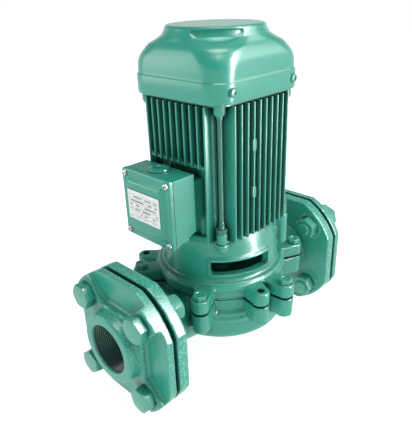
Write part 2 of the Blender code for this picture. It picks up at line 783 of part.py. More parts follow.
def upper_end_shield():
    """The motor's top cover, with its bearing housing, rod lugs and posts for the cowl screws."""
    plate = loft("upper_end_shield", [
        rounded_square(shield_half_width, 14 * mm, shield_bottom),
        rounded_square(shield_half_width, 14 * mm, shield_top),
    ], enamel)
    housing = bearing_outer / 2 + 5 * mm
    hub_bottom = upper_bearing_bottom - 3 * mm
    hub = cylinder("shield_hub", housing, shield_bottom - hub_bottom + overlap,
                   (0, 0, (shield_bottom + hub_bottom + overlap) / 2), segments=32)
    spigot = ring("shield_spigot", frame_bore / 2 - gap, frame_bore / 2 - 4 * mm, shield_bottom - 5 * mm,
                  shield_bottom + overlap)
    join(plate, hub, spigot)
    inner = frame_notch + gap
    outer = tie_rod_place + corner_lug_width / 2
    middle = (inner + outer) / 2
    lug_bottom = frame_top - shield_lug_drop
    for i, (sx, sy) in enumerate(corners(1)):
        lug = box(f"shield_lug_{i}", (outer - inner, outer - inner, shield_top - lug_bottom),
                  (sx * middle, sy * middle, (shield_top + lug_bottom) / 2))
        post_outer = cowl_half_width - cowl_wall - 3.4 * mm
        post_top = cowl_screw_height + 5 * mm
        post_bottom = shield_top - overlap
        post = box(f"shield_post_{i}", (8 * mm, 9 * mm, post_top - post_bottom),
                   (sx * (cowl_screw_place - overlap), sy * (post_outer - 4.5 * mm), (post_top + post_bottom) / 2))
        thread = cylinder(f"post_thread_{i}", cowl_screw_diameter / 2 + gap, 16 * mm,
                          (sx * cowl_screw_place, sy * post_outer, cowl_screw_height), segments=8, along="Y")
        join(plate, lug, post)
        cut(plate, thread)
    depth = shield_top - rod_cap - lug_bottom + overlap
    rods = [
        cylinder(f"shield_rod_hole_{i}", tie_rod_diameter / 2 + gap, depth,
                 (x, y, shield_top - rod_cap - depth / 2), segments=8)
        for i, (x, y) in enumerate(corners(tie_rod_place))
    ]
    bearing = cylinder("upper_bearing_seat", bearing_outer / 2 + gap, upper_bearing_top - hub_bottom + overlap,
                       (0, 0, (upper_bearing_top + gap + hub_bottom - overlap) / 2), segments=32)
    through = cylinder("shield_shaft_hole", shaft_radius + overlap, cutter_length, (0, 0, shield_bottom),
                       segments=24)
    return cut(plate, grouped("shield_rod_holes", *rods), bearing, through)


def tie_rods():
    """Long studs from the lantern's corner bosses up into the end shield, with a nut on each frame lug."""
    bottom = lantern_top - 11 * mm
    top = shield_top - rod_cap - gap
    lower_nut = frame_bottom + corner_lug_height + gap
    rod = cylinder("rod_bar", tie_rod_diameter / 2, top - bottom, (0, 0, (top + bottom) / 2), segments=8)
    low = hexagon("rod_low_nut", tie_nut_across_flats, tie_nut_height, (0, 0, lower_nut + tie_nut_height / 2))
    mesh = baked(join(rod, low), low)
    for i, (x, y) in enumerate(corners(tie_rod_place), 1):
        add_object(f"tie_rod_{i}", mesh, (x, y, 0), finish=enamel)


def cowl_sections():
    """Half width, corner radius and height of each ring of the cowl, from its lip to the top disc."""
    full = cowl_half_width
    cap = cowl_cap_radius
    top = cowl_top
    shoulder = full - cap
    return [
        (full, cowl_corner_radius, cowl_lip_height),
        (full, cowl_corner_radius, cowl_step_height - overlap),
        (full - 0.6 * mm, cowl_corner_radius, cowl_step_height),
        (full - shoulder * 0.08, cowl_corner_radius * 1.1, top - 31 * mm),
        (full - shoulder * 0.15, cowl_corner_radius * 1.3, top - 26 * mm),
        (full - shoulder * 0.25, cowl_corner_radius * 1.5, top - 21.5 * mm),
        (full - shoulder * 0.4, cowl_corner_radius * 1.65, top - 17 * mm),
        (full - shoulder * 0.55, cap * 0.88, top - 13 * mm),
        (cap + shoulder * 0.3, cap, top - 8.5 * mm),
        (cap + shoulder * 0.13, cap, top - 4 * mm),
        (cap, cap, top - 1.5 * mm),
        (cap - 0.8 * mm, cap - overlap, top),
    ]


def fan_cowl():
    """A thin drawn shell: a rounded square skirt that sweeps up to a round cap with a flat top disc."""
    shape = bmesh.new()
    rings = []
    for half_width, radius, height in cowl_sections():
        points = rounded_square(half_width, min(radius, half_width), height)
        rings.append([shape.verts.new(point) for point in points])
    for first, second in zip(rings, rings[1:]):
        for i, start in enumerate(first):
            after = (i + 1) % len(first)
            shape.faces.new((start, first[after], second[after], second[i]))
    shape.faces.new(rings[-1])
    mesh = bpy.data.meshes.new("fan_cowl")
    shape.to_mesh(mesh)
    shape.free()
    mesh.shade_smooth()
    mesh.set_sharp_from_angle(angle=math.radians(35))
    cowl = add_object("fan_cowl", mesh, finish=gloss_enamel)
    wall = cowl.modifiers.new("wall", "SOLIDIFY")
    wall.thickness = cowl_wall
    wall.offset = -1
    wall.use_even_offset = True
    for i, (x, y) in enumerate(corners(cowl_screw_place)):
        side = math.copysign(cowl_half_width, y)
        cut(cowl, cylinder(f"cowl_screw_hole_{i}", cowl_screw_diameter / 2 + small_clearance, 12 * mm,
                           (x, side, cowl_screw_height), segments=12, along="Y"))
    return cowl


def cowl_screws():
    """Pan head screws through the -Y and +Y sides of the cowl into the shield posts."""
    reach = 10 * mm
    head = cylinder("screw_head", cowl_screw_diameter * 0.9, 2.2 * mm, (0, 0, 1.1 * mm), segments=12,
                    top_radius=cowl_screw_diameter * 0.55)
    shank = cylinder("screw_shank", cowl_screw_diameter / 2, reach + overlap, (0, 0, (overlap - reach) / 2),
                     segments=8)
    mesh = baked(join(shank, head), head)
    for i, (x, y) in enumerate(corners(cowl_screw_place), 1):
        side = math.copysign(1, y)
        place = (x, side * (cowl_half_width + gap), cowl_screw_height)
        add_object(f"cowl_screw_{i}", mesh, place, (-side * math.pi / 2, 0, 0), gloss_enamel)


def on_axis(name, *pieces):
    """An empty on the motor axis, which carries the pieces that turn about it together."""
    axis = bpy.data.objects.new(name, None)
    parts.objects.link(axis)
    for piece in pieces:
        piece.parent = axis


def bearing(label, bottom):
    """A deep groove ball bearing: outer race, inner race, and the balls in their cage."""
    middle = bottom + bearing_width / 2
    pitch = (bearing_outer + bearing_inner) / 4
    ball = ball_diameter / 2
    ring(f"{label}_bearing_outer_race", bearing_outer / 2, pitch + ball + gap, bottom, bottom + bearing_width,
         bright_steel, 24)
    inner = ring(f"{label}_bearing_inner_race", pitch - ball - gap, bearing_inner / 2, bottom,
                 bottom + bearing_width, bright_steel, 24)
    cage = ring(f"{label}_bearing_cage", pitch + overlap, pitch - overlap, middle - overlap, middle + overlap,
                bright_steel, 16)
    balls = []
    for i in range(bearing_balls):
        shape = bmesh.new()
        bmesh.ops.create_icosphere(shape, subdivisions=1, radius=ball)
        x, y = around(pitch, 360 * i / bearing_balls)
        balls.append(add_object(f"{label}_ball_{i}", finish_mesh(f"{label}_ball_{i}", shape), (x, y, middle)))
    join(cage, grouped(f"{label}_balls", *balls))
    on_axis(f"{label}_cage_axis", cage)
    return inner


def shaft():
    """The one shaft of pump and motor, stepped for impeller, bearings, rotor and fan."""
    thread = impeller_seat_diameter / 2 - 1.2 * mm
    seat = impeller_seat_diameter / 2
    rotor = rotor_shaft_diameter / 2
    fan_seat = fan_seat_diameter / 2
    shoulder = impeller_top + gap
    profile = (
        (0, shaft_top), (fan_seat - 0.5 * mm, shaft_top), (fan_seat, shaft_top - 0.5 * mm),
        (fan_seat, fan_bottom - gap), (shaft_radius, fan_bottom - gap),
        (shaft_radius, upper_bearing_bottom - gap), (rotor, upper_bearing_bottom - gap),
        (rotor, lantern_top + gap), (shaft_radius, lantern_top + gap),
        (shaft_radius, shoulder), (seat, shoulder), (seat, impeller_bottom),
        (thread, impeller_bottom), (thread, shaft_bottom), (0, shaft_bottom),
    )
    made = turned("shaft", profile, ground_steel, 20, closed=False)
    slot = box("shaft_keyway", (key_width + 2 * gap, key_width + 2 * gap, impeller_height - 3 * mm),
               (seat, 0, (impeller_top + impeller_bottom) / 2))
    cut(made, slot)
    key = box("impeller_key", (key_width, key_width, impeller_height - 4 * mm),
              (seat, 0, (impeller_top + impeller_bottom) / 2), bright_steel)
    core = ring("rotor_core", rotor_diameter / 2, rotor + gap, core_bottom, core_top, lamination)
    return made, key, core


def stator():
    ring("stator_core", frame_bore / 2 - gap, rotor_diameter / 2 + small_clearance, core_bottom, core_top,
         lamination, 40)
    inner = rotor_diameter / 2 + 3 * mm
    outer = frame_bore / 2 - 3 * mm
    round_off = 3 * mm
    for label, low in (("lower", core_bottom - gap - winding_height), ("upper", core_top + gap)):
        high = low + winding_height
        turned(f"stator_winding_{label}", (
            (outer - round_off, high), (outer, high - round_off), (outer, low + round_off),
            (outer - round_off, low), (inner + round_off, low), (inner, low + round_off),
            (inner, high - round_off), (inner + round_off, high)), copper, 24)


def fan():
    """A plain radial fan on the top end of the shaft."""
    bore = fan_seat_diameter / 2 + gap
    hub = bore + 5 * mm
    plate = fan_diameter / 2 - 14 * mm
    wheel = turned("cooling_fan", (
        (hub, fan_top), (hub, fan_bottom + 3 * mm), (plate, fan_bottom + 3 * mm), (plate, fan_bottom),
        (bore, fan_bottom), (bore, fan_top)), black_plastic, 24)
    start = hub - overlap
    length = fan_diameter / 2 - start
    for i in range(fan_blades):
        angle = math.tau * (i + 0.5) / fan_blades
        middle = start + length / 2
        blade = box(f"fan_blade_{i}", (length, 2 * mm, fan_blade_height + overlap),
                    (middle * math.cos(angle), middle * math.sin(angle), fan_top - (fan_blade_height + overlap) / 2),
                    turn=(0, 0, angle))
        join(wheel, blade)
    return wheel


def impeller():
    """A closed radial impeller with its eye facing down, and the nut that holds it."""
    rim = impeller_diameter / 2
    bore = impeller_seat_diameter / 2 + gap
    hub = bore + 5 * mm
    eye = impeller_eye / 2
    back = impeller_top - shroud_thickness
    wheel = turned("impeller", (
        (rim, impeller_top), (rim, back), (hub, back), (hub, impeller_bottom + gap), (bore, impeller_bottom + gap),
        (bore, impeller_top)), cast_iron, 24)
    front = turned("front_shroud", (
        (eye + shroud_thickness, impeller_bottom + shroud_thickness), (rim, impeller_bottom + shroud_thickness),
        (rim, impeller_bottom), (eye + shroud_thickness, impeller_bottom),
        (eye + shroud_thickness, impeller_bottom - 4 * mm), (eye, impeller_bottom - 4 * mm),
        (eye, impeller_bottom + shroud_thickness)), segments=24)
    vane_bottom = impeller_bottom + shroud_thickness - overlap / 2
    vane_top = back + overlap / 2
    length = rim - eye + overlap
    for i in range(impeller_vanes):
        angle = math.tau * (i + 0.5) / impeller_vanes
        middle = eye + length / 2 - overlap * 1.5
        vane = box(f"vane_{i}", (length * 1.02, 2.4 * mm, vane_top - vane_bottom),
                   (middle * math.cos(angle), middle * math.sin(angle), (vane_top + vane_bottom) / 2),
                   turn=(0, 0, angle + math.radians(28)))
        join(wheel, vane)
    join(wheel, front)
    slot = box("impeller_keyway", (key_width + 2 * gap, key_width + 2 * gap, impeller_height * 2),
               (impeller_seat_diameter / 2, 0, impeller_top))
    cut(wheel, slot)
    nut_height = 4.5 * mm
    nut = hexagon("impeller_nut", 15 * mm, nut_height, (0, 0, impeller_bottom - nut_height / 2 - gap),
                  finish=bright_steel)
    cut(nut, cylinder("nut_thread", impeller_seat_diameter / 2 - 1.2 * mm + gap, 3 * nut_height,
                      (0, 0, impeller_bottom), segments=20))
    return wheel, nut


def mechanical_seal():
    """The seal head turns with the shaft against the seat, which sits in the lantern."""
    shoulder = cover_underside + 11.8 * mm
    seat_bottom = shoulder - gap - seal_seat_height
    ring("seal_seat", seal_bore / 2 - gap, shaft_radius + overlap, seat_bottom, shoulder - gap, ceramic, 24)
    bore = shaft_radius + gap
    head_bottom = impeller_top + 2 * gap
    outer = seal_head_diameter / 2
    return turned("seal_head", (
        (outer - 2 * mm, seat_bottom - gap), (outer, seat_bottom - 2 * mm), (outer, head_bottom + overlap),
        (outer - overlap, head_bottom), (bore, head_bottom), (bore, seat_bottom - gap)), black_plastic, 20)


def terminal_box():
    """The wiring box: housing, lid with gasket, entry plug, terminal block, screws and data plate."""
    depth = box_front - box_back
    middle = -(box_front + box_back) / 2
    housing = box("terminal_box", (depth, box_width, box_height), (middle, box_centre, box_middle), enamel)
    neck_depth = box_back - frame_core_half - gap + overlap - 2 * mm
    neck = box("box_neck", (neck_depth, box_neck_width, box_height - 2 * box_slope_rise - 8 * mm),
               (-box_back + neck_depth / 2 - overlap, 0, box_middle + 4 * mm))
    slope = math.atan2(box_slope_rise, depth)
    wedge = box("box_slope", (depth * 2, box_width * 1.2, 30 * mm),
                (-box_front + math.sin(slope) * 15 * mm, box_centre, box_bottom - math.cos(slope) * 15 * mm),
                turn=(0, -slope, 0))
    hollow_front = -box_front - overlap
    hollow_back = -box_back - box_wall
    hollow_bottom = box_bottom + box_slope_rise + box_wall
    hollow_top = box_top - box_wall
    hollow = box("box_hollow", (hollow_back - hollow_front, box_width - 2 * box_wall, hollow_top - hollow_bottom),
                 ((hollow_back + hollow_front) / 2, box_centre, (hollow_top + hollow_bottom) / 2))
    join(housing, neck)
    cut(housing, wedge, hollow)
    half_width = box_width / 2 - lid_screw_inset
    half_height = box_height / 2 - lid_screw_inset
    screw_places = [(box_centre + sy * half_width, box_middle + sz * half_height) for sy, sz in corners(1)]
    for i, (y, z) in enumerate(screw_places):
        join(housing, cylinder(f"box_post_{i}", lid_screw_inset, 16 * mm, (-box_front + 8 * mm, y, z),
                               segments=16, along="X"))
    for i, (y, z) in enumerate(screw_places):
        cut(housing, cylinder(f"box_thread_{i}", lid_screw_diameter / 2 + gap, 24 * mm, (-box_front, y, z),
                              segments=12, along="X"))
    wires = cylinder("box_wire_hole", wire_hole_diameter / 2, cutter_length, (-box_back, 0, box_middle),
                     segments=20, along="X")
    entry = cylinder("box_entry", entry_plug_diameter / 2 - 2 * mm + gap, 20 * mm, (middle, box_centre, box_top),
                     segments=24)
    cut(housing, wires, entry)

    gasket = box("lid_gasket", (box_gasket_thickness, box_width, box_height),
                 (-box_front - gap - box_gasket_thickness / 2, box_centre, box_middle), dark_rubber)
    window = box("lid_gasket_window", (10 * mm, box_width - 4 * lid_screw_inset, box_height - 4 * lid_screw_inset),
                 (-box_front, box_centre, box_middle))
    cut(gasket, window)
    lid = box("terminal_box_lid", (lid_thickness, box_width + overlap, box_height + overlap),
              (-(lid_back + lid_front) / 2, box_centre, box_middle), gloss_enamel)
    inner_width = box_width / 2 - lid_panel_margin
    inner_height = box_height / 2 - lid_panel_margin
    panel = loft("lid_panel", [
        [(-x, box_centre + sy * (inner_width - inset), box_middle + sz * (inner_height - inset))
         for sy, sz in ((-1, -1), (1, -1), (1, 1), (-1, 1))]
        for x, inset in ((lid_front - overlap, -overlap), (panel_front, lid_panel_height))
    ])
    join(lid, panel)
    for i, (y, z) in enumerate(screw_places):
        hole = cylinder(f"lid_hole_{i}", lid_screw_diameter / 2 + small_clearance, 30 * mm, (-lid_front, y, z),
                        segments=16, along="X")
        cut(lid, hole)
        cut(gasket, hole)

    head = cylinder("lid_screw_head", lid_screw_diameter * 0.85, 2 * mm, (0, 0, 1 * mm), segments=16,
                    top_radius=lid_screw_diameter * 0.65)
    reach = lid_front - box_front + 9 * mm
    shank = cylinder("lid_screw_shank", lid_screw_diameter / 2, reach + overlap, (0, 0, (overlap - reach) / 2),
                     segments=12)
    mesh = baked(join(shank, head), head)
    for i, (y, z) in enumerate(screw_places, 1):
        add_object(f"lid_screw_{i}", mesh, (-lid_front - gap, y, z), (0, -math.pi / 2, 0), bright_steel)

    cap = cylinder("entry_cap", entry_plug_diameter / 2, 2.4 * mm, (0, 0, 1.2 * mm), segments=24,
                   top_radius=entry_plug_diameter / 2 - overlap)
    stem = cylinder("entry_stem", entry_plug_diameter / 2 - 2 * mm, 8 * mm, (0, 0, overlap - 4 * mm), segments=24)
    add_object("cable_entry_plug", baked(join(cap, stem), stem), (middle, box_centre, box_top + gap), finish=enamel)

    block_depth = 11 * mm
    block_back = -box_back - box_wall - gap
    block_height = hollow_bottom + 13 * mm
    block = box("terminal_block", (block_depth, 44 * mm, 18 * mm),
                (block_back - block_depth / 2, box_centre, block_height), black_plastic)
    studs = [
        cylinder(f"terminal_stud_{i}", 2.2 * mm, 5 * mm,
                 (block_back - block_depth - 2 * mm, box_centre + (i - 2.5) * 7 * mm, block_height),
                 segments=8, along="X")
        for i in range(6)
    ]
    join(block, grouped("terminal_studs", *studs))
    box("data_plate", (0.6 * mm, plate_width, plate_height),
        (-panel_front - gap - 0.3 * mm, box_centre, box_middle + 2 * mm), label_white)


flange_sets()
pump_body()
casing_joint()
lantern()
motor_frame()
upper_end_shield()
tie_rods()
fan_cowl()
cowl_screws()
lower_race = bearing("lower", lower_bearing_bottom)
upper_race = bearing("upper", upper_bearing_bottom)
stator()
terminal_box()
on_axis("shaft_axis", lower_race, upper_race, *shaft(), fan(), *impeller(), mechanical_seal())
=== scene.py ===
import math

import bmesh
import bpy
from mathutils import Matrix, Vector


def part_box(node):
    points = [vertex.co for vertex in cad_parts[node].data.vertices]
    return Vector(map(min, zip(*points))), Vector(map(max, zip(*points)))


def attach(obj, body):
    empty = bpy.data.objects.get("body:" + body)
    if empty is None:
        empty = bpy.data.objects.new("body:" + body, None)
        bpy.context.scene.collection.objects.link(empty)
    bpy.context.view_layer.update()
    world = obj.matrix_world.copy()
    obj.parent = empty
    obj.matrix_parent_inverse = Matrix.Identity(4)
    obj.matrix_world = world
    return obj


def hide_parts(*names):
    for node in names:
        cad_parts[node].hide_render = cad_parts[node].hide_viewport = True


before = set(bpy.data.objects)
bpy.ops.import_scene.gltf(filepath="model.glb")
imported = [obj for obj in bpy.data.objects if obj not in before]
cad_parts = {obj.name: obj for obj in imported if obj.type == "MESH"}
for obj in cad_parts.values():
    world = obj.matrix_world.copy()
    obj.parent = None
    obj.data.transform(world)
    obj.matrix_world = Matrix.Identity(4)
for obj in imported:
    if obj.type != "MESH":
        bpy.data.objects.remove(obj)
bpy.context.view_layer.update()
mm = 0.001
fullTurn = math.tau
print("frame loaded:", len(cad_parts), "nodes")

bodyLow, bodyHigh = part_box("pump_body")
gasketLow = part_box("casing_gasket")[0]
lanternLow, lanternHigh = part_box("lantern")
motorLow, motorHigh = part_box("motor_frame")
cowlLow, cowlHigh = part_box("fan_cowl")
hubLow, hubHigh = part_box("companion_flange_far")
boxLow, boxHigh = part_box("terminal_box")
lidLow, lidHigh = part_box("terminal_box_lid")
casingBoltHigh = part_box("casing_bolt_2")[1]

axisHeight = (bodyLow.z + bodyHigh.z) / 2
fitGap = 0.3 * mm


# --- shader maths ---
class Flow:
    # wraps one socket, so that node maths reads as plain maths
    def __init__(self, tree, socket=None):
        self.tree = tree
        self.socket = socket

    def node(self, kind, settings=None, inputs=None, output=0):
        made = self.tree.nodes.new(kind)
        for key, value in (settings or {}).items():
            if key == "stops":
                fillRamp(made.color_ramp, value)
            else:
                setattr(made, key, value)
        for key, value in (inputs or {}).items():
            self.feed(made.inputs[key], value)
        return Flow(self.tree, made.outputs[output])

    def feed(self, socket, value):
        if isinstance(value, Flow):
            self.tree.links.new(value.socket, socket)
        else:
            socket.default_value = value

    def math(self, operation, *values):
        return self.node("ShaderNodeMath", {"operation": operation}, dict(enumerate(values)))

    def __add__(self, other):
        return self.math("ADD", self, other)

    def __radd__(self, other):
        return self.math("ADD", other, self)

    def __sub__(self, other):
        return self.math("SUBTRACT", self, other)

    def __rsub__(self, other):
        return self.math("SUBTRACT", other, self)

    def __mul__(self, other):
        return self.math("MULTIPLY", self, other)

    def __rmul__(self, other):
        return self.math("MULTIPLY", other, self)

    def ramp(self, low, high):
        # 0 below low, 1 above high, soft in between
        return self.node("ShaderNodeMapRange", {"interpolation_type": "SMOOTHSTEP"},
                         {"Value": self, "From Min": low, "From Max": high})

    def blend(self, first, second):
        # a colour that goes from first to second as this value goes from 0 to 1
        return self.node("ShaderNodeMix", {"data_type": "RGBA"}, {0: self, 6: first, 7: second}, 2)


def fillRamp(ramp, stops):
    while len(ramp.elements) < len(stops):
        ramp.elements.new(0.5)
    for element, (place, tint) in zip(ramp.elements, stops):
        element.position = place
        element.color = tint


def startMaterial(name):
    made = bpy.data.materials.new(name)
    made.use_nodes = True
    return made, made.node_tree.nodes["Principled BSDF"], Flow(made.node_tree)


def noiseAt(flow, spot, size, detail=2.0, rough=0.5):
    # size is the width of one grain in metres
    return flow.node("ShaderNodeTexNoise", {}, {"Vector": spot, "Scale": 1 / size, "Detail": detail,
                                               "Roughness": rough})


def raised(flow, height, strength, reach, under=None):
    settings = {"Height": height, "Strength": strength, "Distance": reach}
    if under is not None:
        settings["Normal"] = under
    return flow.node("ShaderNodeBump", {}, settings)


def enamel(name, look):
    # gloss paint over metal: lighter on edges, partly thin paint and partly painted highlight; painted shade in
    # corners; light speckle on the grain, partly cast texture and partly painted glint; with the metal's grain
    # below
    made, shader, flow = startMaterial(name)
    spot = flow.node("ShaderNodeTexCoord", output=3)
    cloud = noiseAt(flow, spot, look["cloud"], 3)
    grain = noiseAt(flow, spot, look["grain"], 3, 0.6)
    peel = noiseAt(flow, spot, look["peel"], 1)
    fine = noiseAt(flow, spot, look["fine"], 2, 0.6)
    corner = flow.node("ShaderNodeAmbientOcclusion", {"samples": 6}, {"Distance": look["cornerReach"]}, 1)
    edge = flow.node("ShaderNodeAmbientOcclusion", {"samples": 6, "inside": True},
                     {"Distance": look["edgeReach"]}, 1)
    cornerShadeMask = 1 - corner.ramp(0.35, 0.95)
    grainSpeckleAndGlint = look["grainSpeckleAndGlint"]
    if "rimFrom" in look:  # more light speckle on the rims, partly rough cast grain and partly painted glint, from this distance outwards along X
        along = flow.node("ShaderNodeSeparateXYZ", {}, {"Vector": spot}, 0)
        facing = flow.node("ShaderNodeSeparateXYZ", {}, {"Vector": flow.node("ShaderNodeTexCoord",
                                                                             output=1)}, 0)
        rim = 1 - flow.math("ABSOLUTE", facing).ramp(0.25, 0.6)
        outward = flow.math("ABSOLUTE", along).ramp(look["rimFrom"], look["rimFrom"] + 5 * mm)
        grainSpeckleAndGlint = rim * outward * look["rimSpeckleAndGlintShare"] + grainSpeckleAndGlint
    edgeWearHighlight = 1 - edge.ramp(0.45, 0.9)
    colour = cloud.ramp(0.3, 0.7).blend(look["tone"], look["toneTwo"])
    # light speckle on the grain: partly cast texture, partly painted glint
    colour = (grain.ramp(0.5, 0.66) * grainSpeckleAndGlint).blend(colour, look["light"])
    # lighter convex edges: partly thin worn paint, partly painted edge highlight
    colour = (edgeWearHighlight * grain.ramp(0.25, 0.6) * look["edgeWearHighlightShare"]).blend(colour, look["light"])
    # painted shade: darker in corners and hollows, found by ambient occlusion
    colour = (cornerShadeMask * look["cornerShadeShare"]).blend(colour, look["shade"])
    if "boreShadeRadius" in look:  # painted shade inside the pipe thread: near black from this radius inwards
        sideways = flow.node("ShaderNodeSeparateXYZ", {}, {"Vector": spot}, 1)
        height = flow.node("ShaderNodeSeparateXYZ", {}, {"Vector": spot}, 2) - axisHeight
        reach = (sideways * sideways + height * height)
        reach = reach.math("SQRT", reach)
        colour = reach.ramp(look["boreShadeRadius"], look["boreShadeRadius"] + 0.8 * mm).blend((0.004, 0.012, 0.010,
                                                                                      1), colour)
    flow.feed(shader.inputs["Base Color"], colour)
    flow.feed(shader.inputs["Roughness"], look["rough"] + grain * look["roughSpread"] + cornerShadeMask * 0.15)
    bump = raised(flow, peel, look["peelDepth"], 0.2 * mm)
    bump = raised(flow, grain, look["grainDepth"], 0.25 * mm, bump)
    bump = raised(flow, fine, look["fineDepth"], 0.08 * mm, bump)
    flow.feed(shader.inputs["Normal"], bump)
    shader.inputs["Coat Weight"].default_value = look["coat"]
    shader.inputs["Coat Roughness"].default_value = look["coatRough"]
    return made


greens = {
    "tone": (0.014, 0.238, 0.172, 1),
    "toneTwo": (0.018, 0.265, 0.192, 1),
    "light": (0.240, 0.560, 0.470, 1),
    "shade": (0.001, 0.030, 0.022, 1),
}
castLook = {**greens, "cloud": 60 * mm, "grain": 1.6 * mm, "peel": 5 * mm, "fine": 0.55 * mm,
            "cornerReach": 9 * mm,
            "edgeReach": 1.2 * mm, "grainSpeckleAndGlint": 0.14, "edgeWearHighlightShare": 0.5, "cornerShadeShare": 0.85, "rough": 0.27,
            "roughSpread": 0.16, "peelDepth": 0.35, "grainDepth": 0.22, "fineDepth": 0.2, "coat": 0.25,
            "coatRough": 0.12}
sandLook = {**castLook, "grain": 1.25 * mm, "grainSpeckleAndGlint": 0.1, "grainDepth": 0.45, "fineDepth": 0.3,
            "edgeWearHighlightShare": 0.6, "coat": 0.3, "rimFrom": 118 * mm, "rimSpeckleAndGlintShare": 0.6, "boreShadeRadius": 26 * mm}
motorLook = {**castLook, "grain": 1.3 * mm, "grainSpeckleAndGlint": 0.08, "grainDepth": 0.1, "cornerReach": 11 * mm,
             "cornerShadeShare": 0.95, "edgeWearHighlightShare": 0.45}
sheetLook = {**castLook, "cloud": 90 * mm, "grain": 2.4 * mm, "grainSpeckleAndGlint": 0.0, "edgeWearHighlightShare": 0.15,
             "grainDepth": 0.03,
             "fineDepth": 0.03, "peel": 3.2 * mm, "peelDepth": 0.16, "rough": 0.3, "roughSpread": 0.05,
             "coat": 0.35, "coatRough": 0.18, "cornerShadeShare": 0.45}
boltLook = {**castLook, "grain": 1.0 * mm, "grainDepth": 0.12, "grainSpeckleAndGlint": 0.1, "edgeWearHighlightShare": 0.5, "coat": 0.5,
            "cornerReach": 5 * mm, "cornerShadeShare": 0.6}

paintCast = enamel("greenCastEnamel", castLook)
paintSand = enamel("greenSandCastEnamel", sandLook)
paintBody = enamel("greenBodyEnamel", {**castLook, "rimFrom": 118 * mm, "rimSpeckleAndGlintShare": 0.6})
paintMotor = enamel("greenMotorEnamel", motorLook)
paintSheet = enamel("greenSheetEnamel", sheetLook)
paintBolt = enamel("greenBoltEnamel", boltLook)
# painted shade: the tie rods get a darker green, as they stand in the shaded frame corners
shadedRodPaint = enamel("greenRodShadedEnamel", {**boltLook, "tone": (0.006, 0.11, 0.08, 1),
                                     "toneTwo": (0.008, 0.13, 0.094, 1)})


def metal(name, look):
    # bare metal or plastic with turned, ground or cast marks; stretch draws the grain out along Z or X
    made, shader, flow = startMaterial(name)
    spot = flow.node("ShaderNodeTexCoord", output=3)
    drawn = flow.node("ShaderNodeVectorMath", {"operation": "MULTIPLY"}, {0: spot, 1: look["stretch"]})
    marks = noiseAt(flow, drawn, look["grain"], 3, 0.6)
    stain = noiseAt(flow, spot, look["stain"], 2)
    colour = stain.ramp(0.35, 0.7).blend(look["tone"], look["toneTwo"])
    colour = (marks.ramp(0.45, 0.75) * 0.5).blend(colour, look["mark"])
    flow.feed(shader.inputs["Base Color"], colour)
    flow.feed(shader.inputs["Roughness"], look["rough"] + marks * look["roughSpread"])
    flow.feed(shader.inputs["Normal"], raised(flow, marks, look["depth"], 0.1 * mm))
    shader.inputs["Metallic"].default_value = look["metallic"]
    return made


plainMetal = {"tone": (0.60, 0.61, 0.60, 1), "toneTwo": (0.52, 0.53, 0.53, 1), "mark": (0.72, 0.73, 0.72, 1),
              "stretch": (1, 1, 1), "grain": 0.8 * mm, "stain": 14 * mm, "rough": 0.2, "roughSpread": 0.22,
              "depth": 0.15, "metallic": 1.0}
zincSteel = metal("zincSteel", plainMetal)
groundSteel = metal("groundShaftSteel", {**plainMetal, "stretch": (1, 1, 22), "grain": 0.5 * mm,
                                         "rough": 0.14})
raceSteel = metal("bearingSteel", {**plainMetal, "stretch": (1, 1, 14), "rough": 0.1, "roughSpread": 0.12})
bareIron = metal("bareCastIron", {**plainMetal, "tone": (0.13, 0.125, 0.12, 1),
                                  "toneTwo": (0.09, 0.08, 0.075, 1),
                                  "mark": (0.22, 0.21, 0.2, 1), "grain": 1.1 * mm, "rough": 0.5, "depth": 0.6,
                                  "metallic": 0.7})
lamination = metal("laminationSteel", {**plainMetal, "tone": (0.25, 0.26, 0.28, 1),
                                       "toneTwo": (0.19, 0.18, 0.17, 1),
                                       "mark": (0.36, 0.37, 0.38, 1), "stretch": (0.05, 0.05, 1),
                                       "grain": 0.5 * mm, "rough": 0.35, "depth": 0.8, "metallic": 0.9})
copperWire = metal("varnishedCopper", {**plainMetal, "tone": (0.50, 0.17, 0.06, 1),
                                       "toneTwo": (0.36, 0.11, 0.04, 1),
                                       "mark": (0.72, 0.32, 0.14, 1), "stretch": (1, 1, 0.25),
                                       "grain": 1.1 * mm,
                                       "rough": 0.22, "depth": 1.0, "metallic": 0.85})
rubberSheet = metal("gasketSheet", {**plainMetal, "tone": (0.012, 0.045, 0.034, 1),
                                    "toneTwo": (0.016, 0.06, 0.045, 1),
                                    "mark": (0.03, 0.09, 0.07, 1), "rough": 0.6, "metallic": 0.0,
                                    "depth": 0.4})
blackPlastic = metal("mouldedBlackPlastic", {**plainMetal, "tone": (0.022, 0.022, 0.024, 1),
                                             "toneTwo": (0.03, 0.03, 0.032, 1),
                                             "mark": (0.04, 0.04, 0.042, 1),
                                             "rough": 0.38, "metallic": 0.0, "depth": 0.2})
sealCeramic = metal("sealCeramic", {**plainMetal, "tone": (0.72, 0.70, 0.64, 1),
                                    "toneTwo": (0.66, 0.63, 0.57, 1),
                                    "mark": (0.8, 0.78, 0.73, 1), "rough": 0.12, "metallic": 0.0,
                                    "depth": 0.05})
print("materials made")


# --- shapes ---
zToX = Matrix(((0, 0, 1, 0), (0, 1, 0, 0), (-1, 0, 0, 0), (0, 0, 0, 1)))


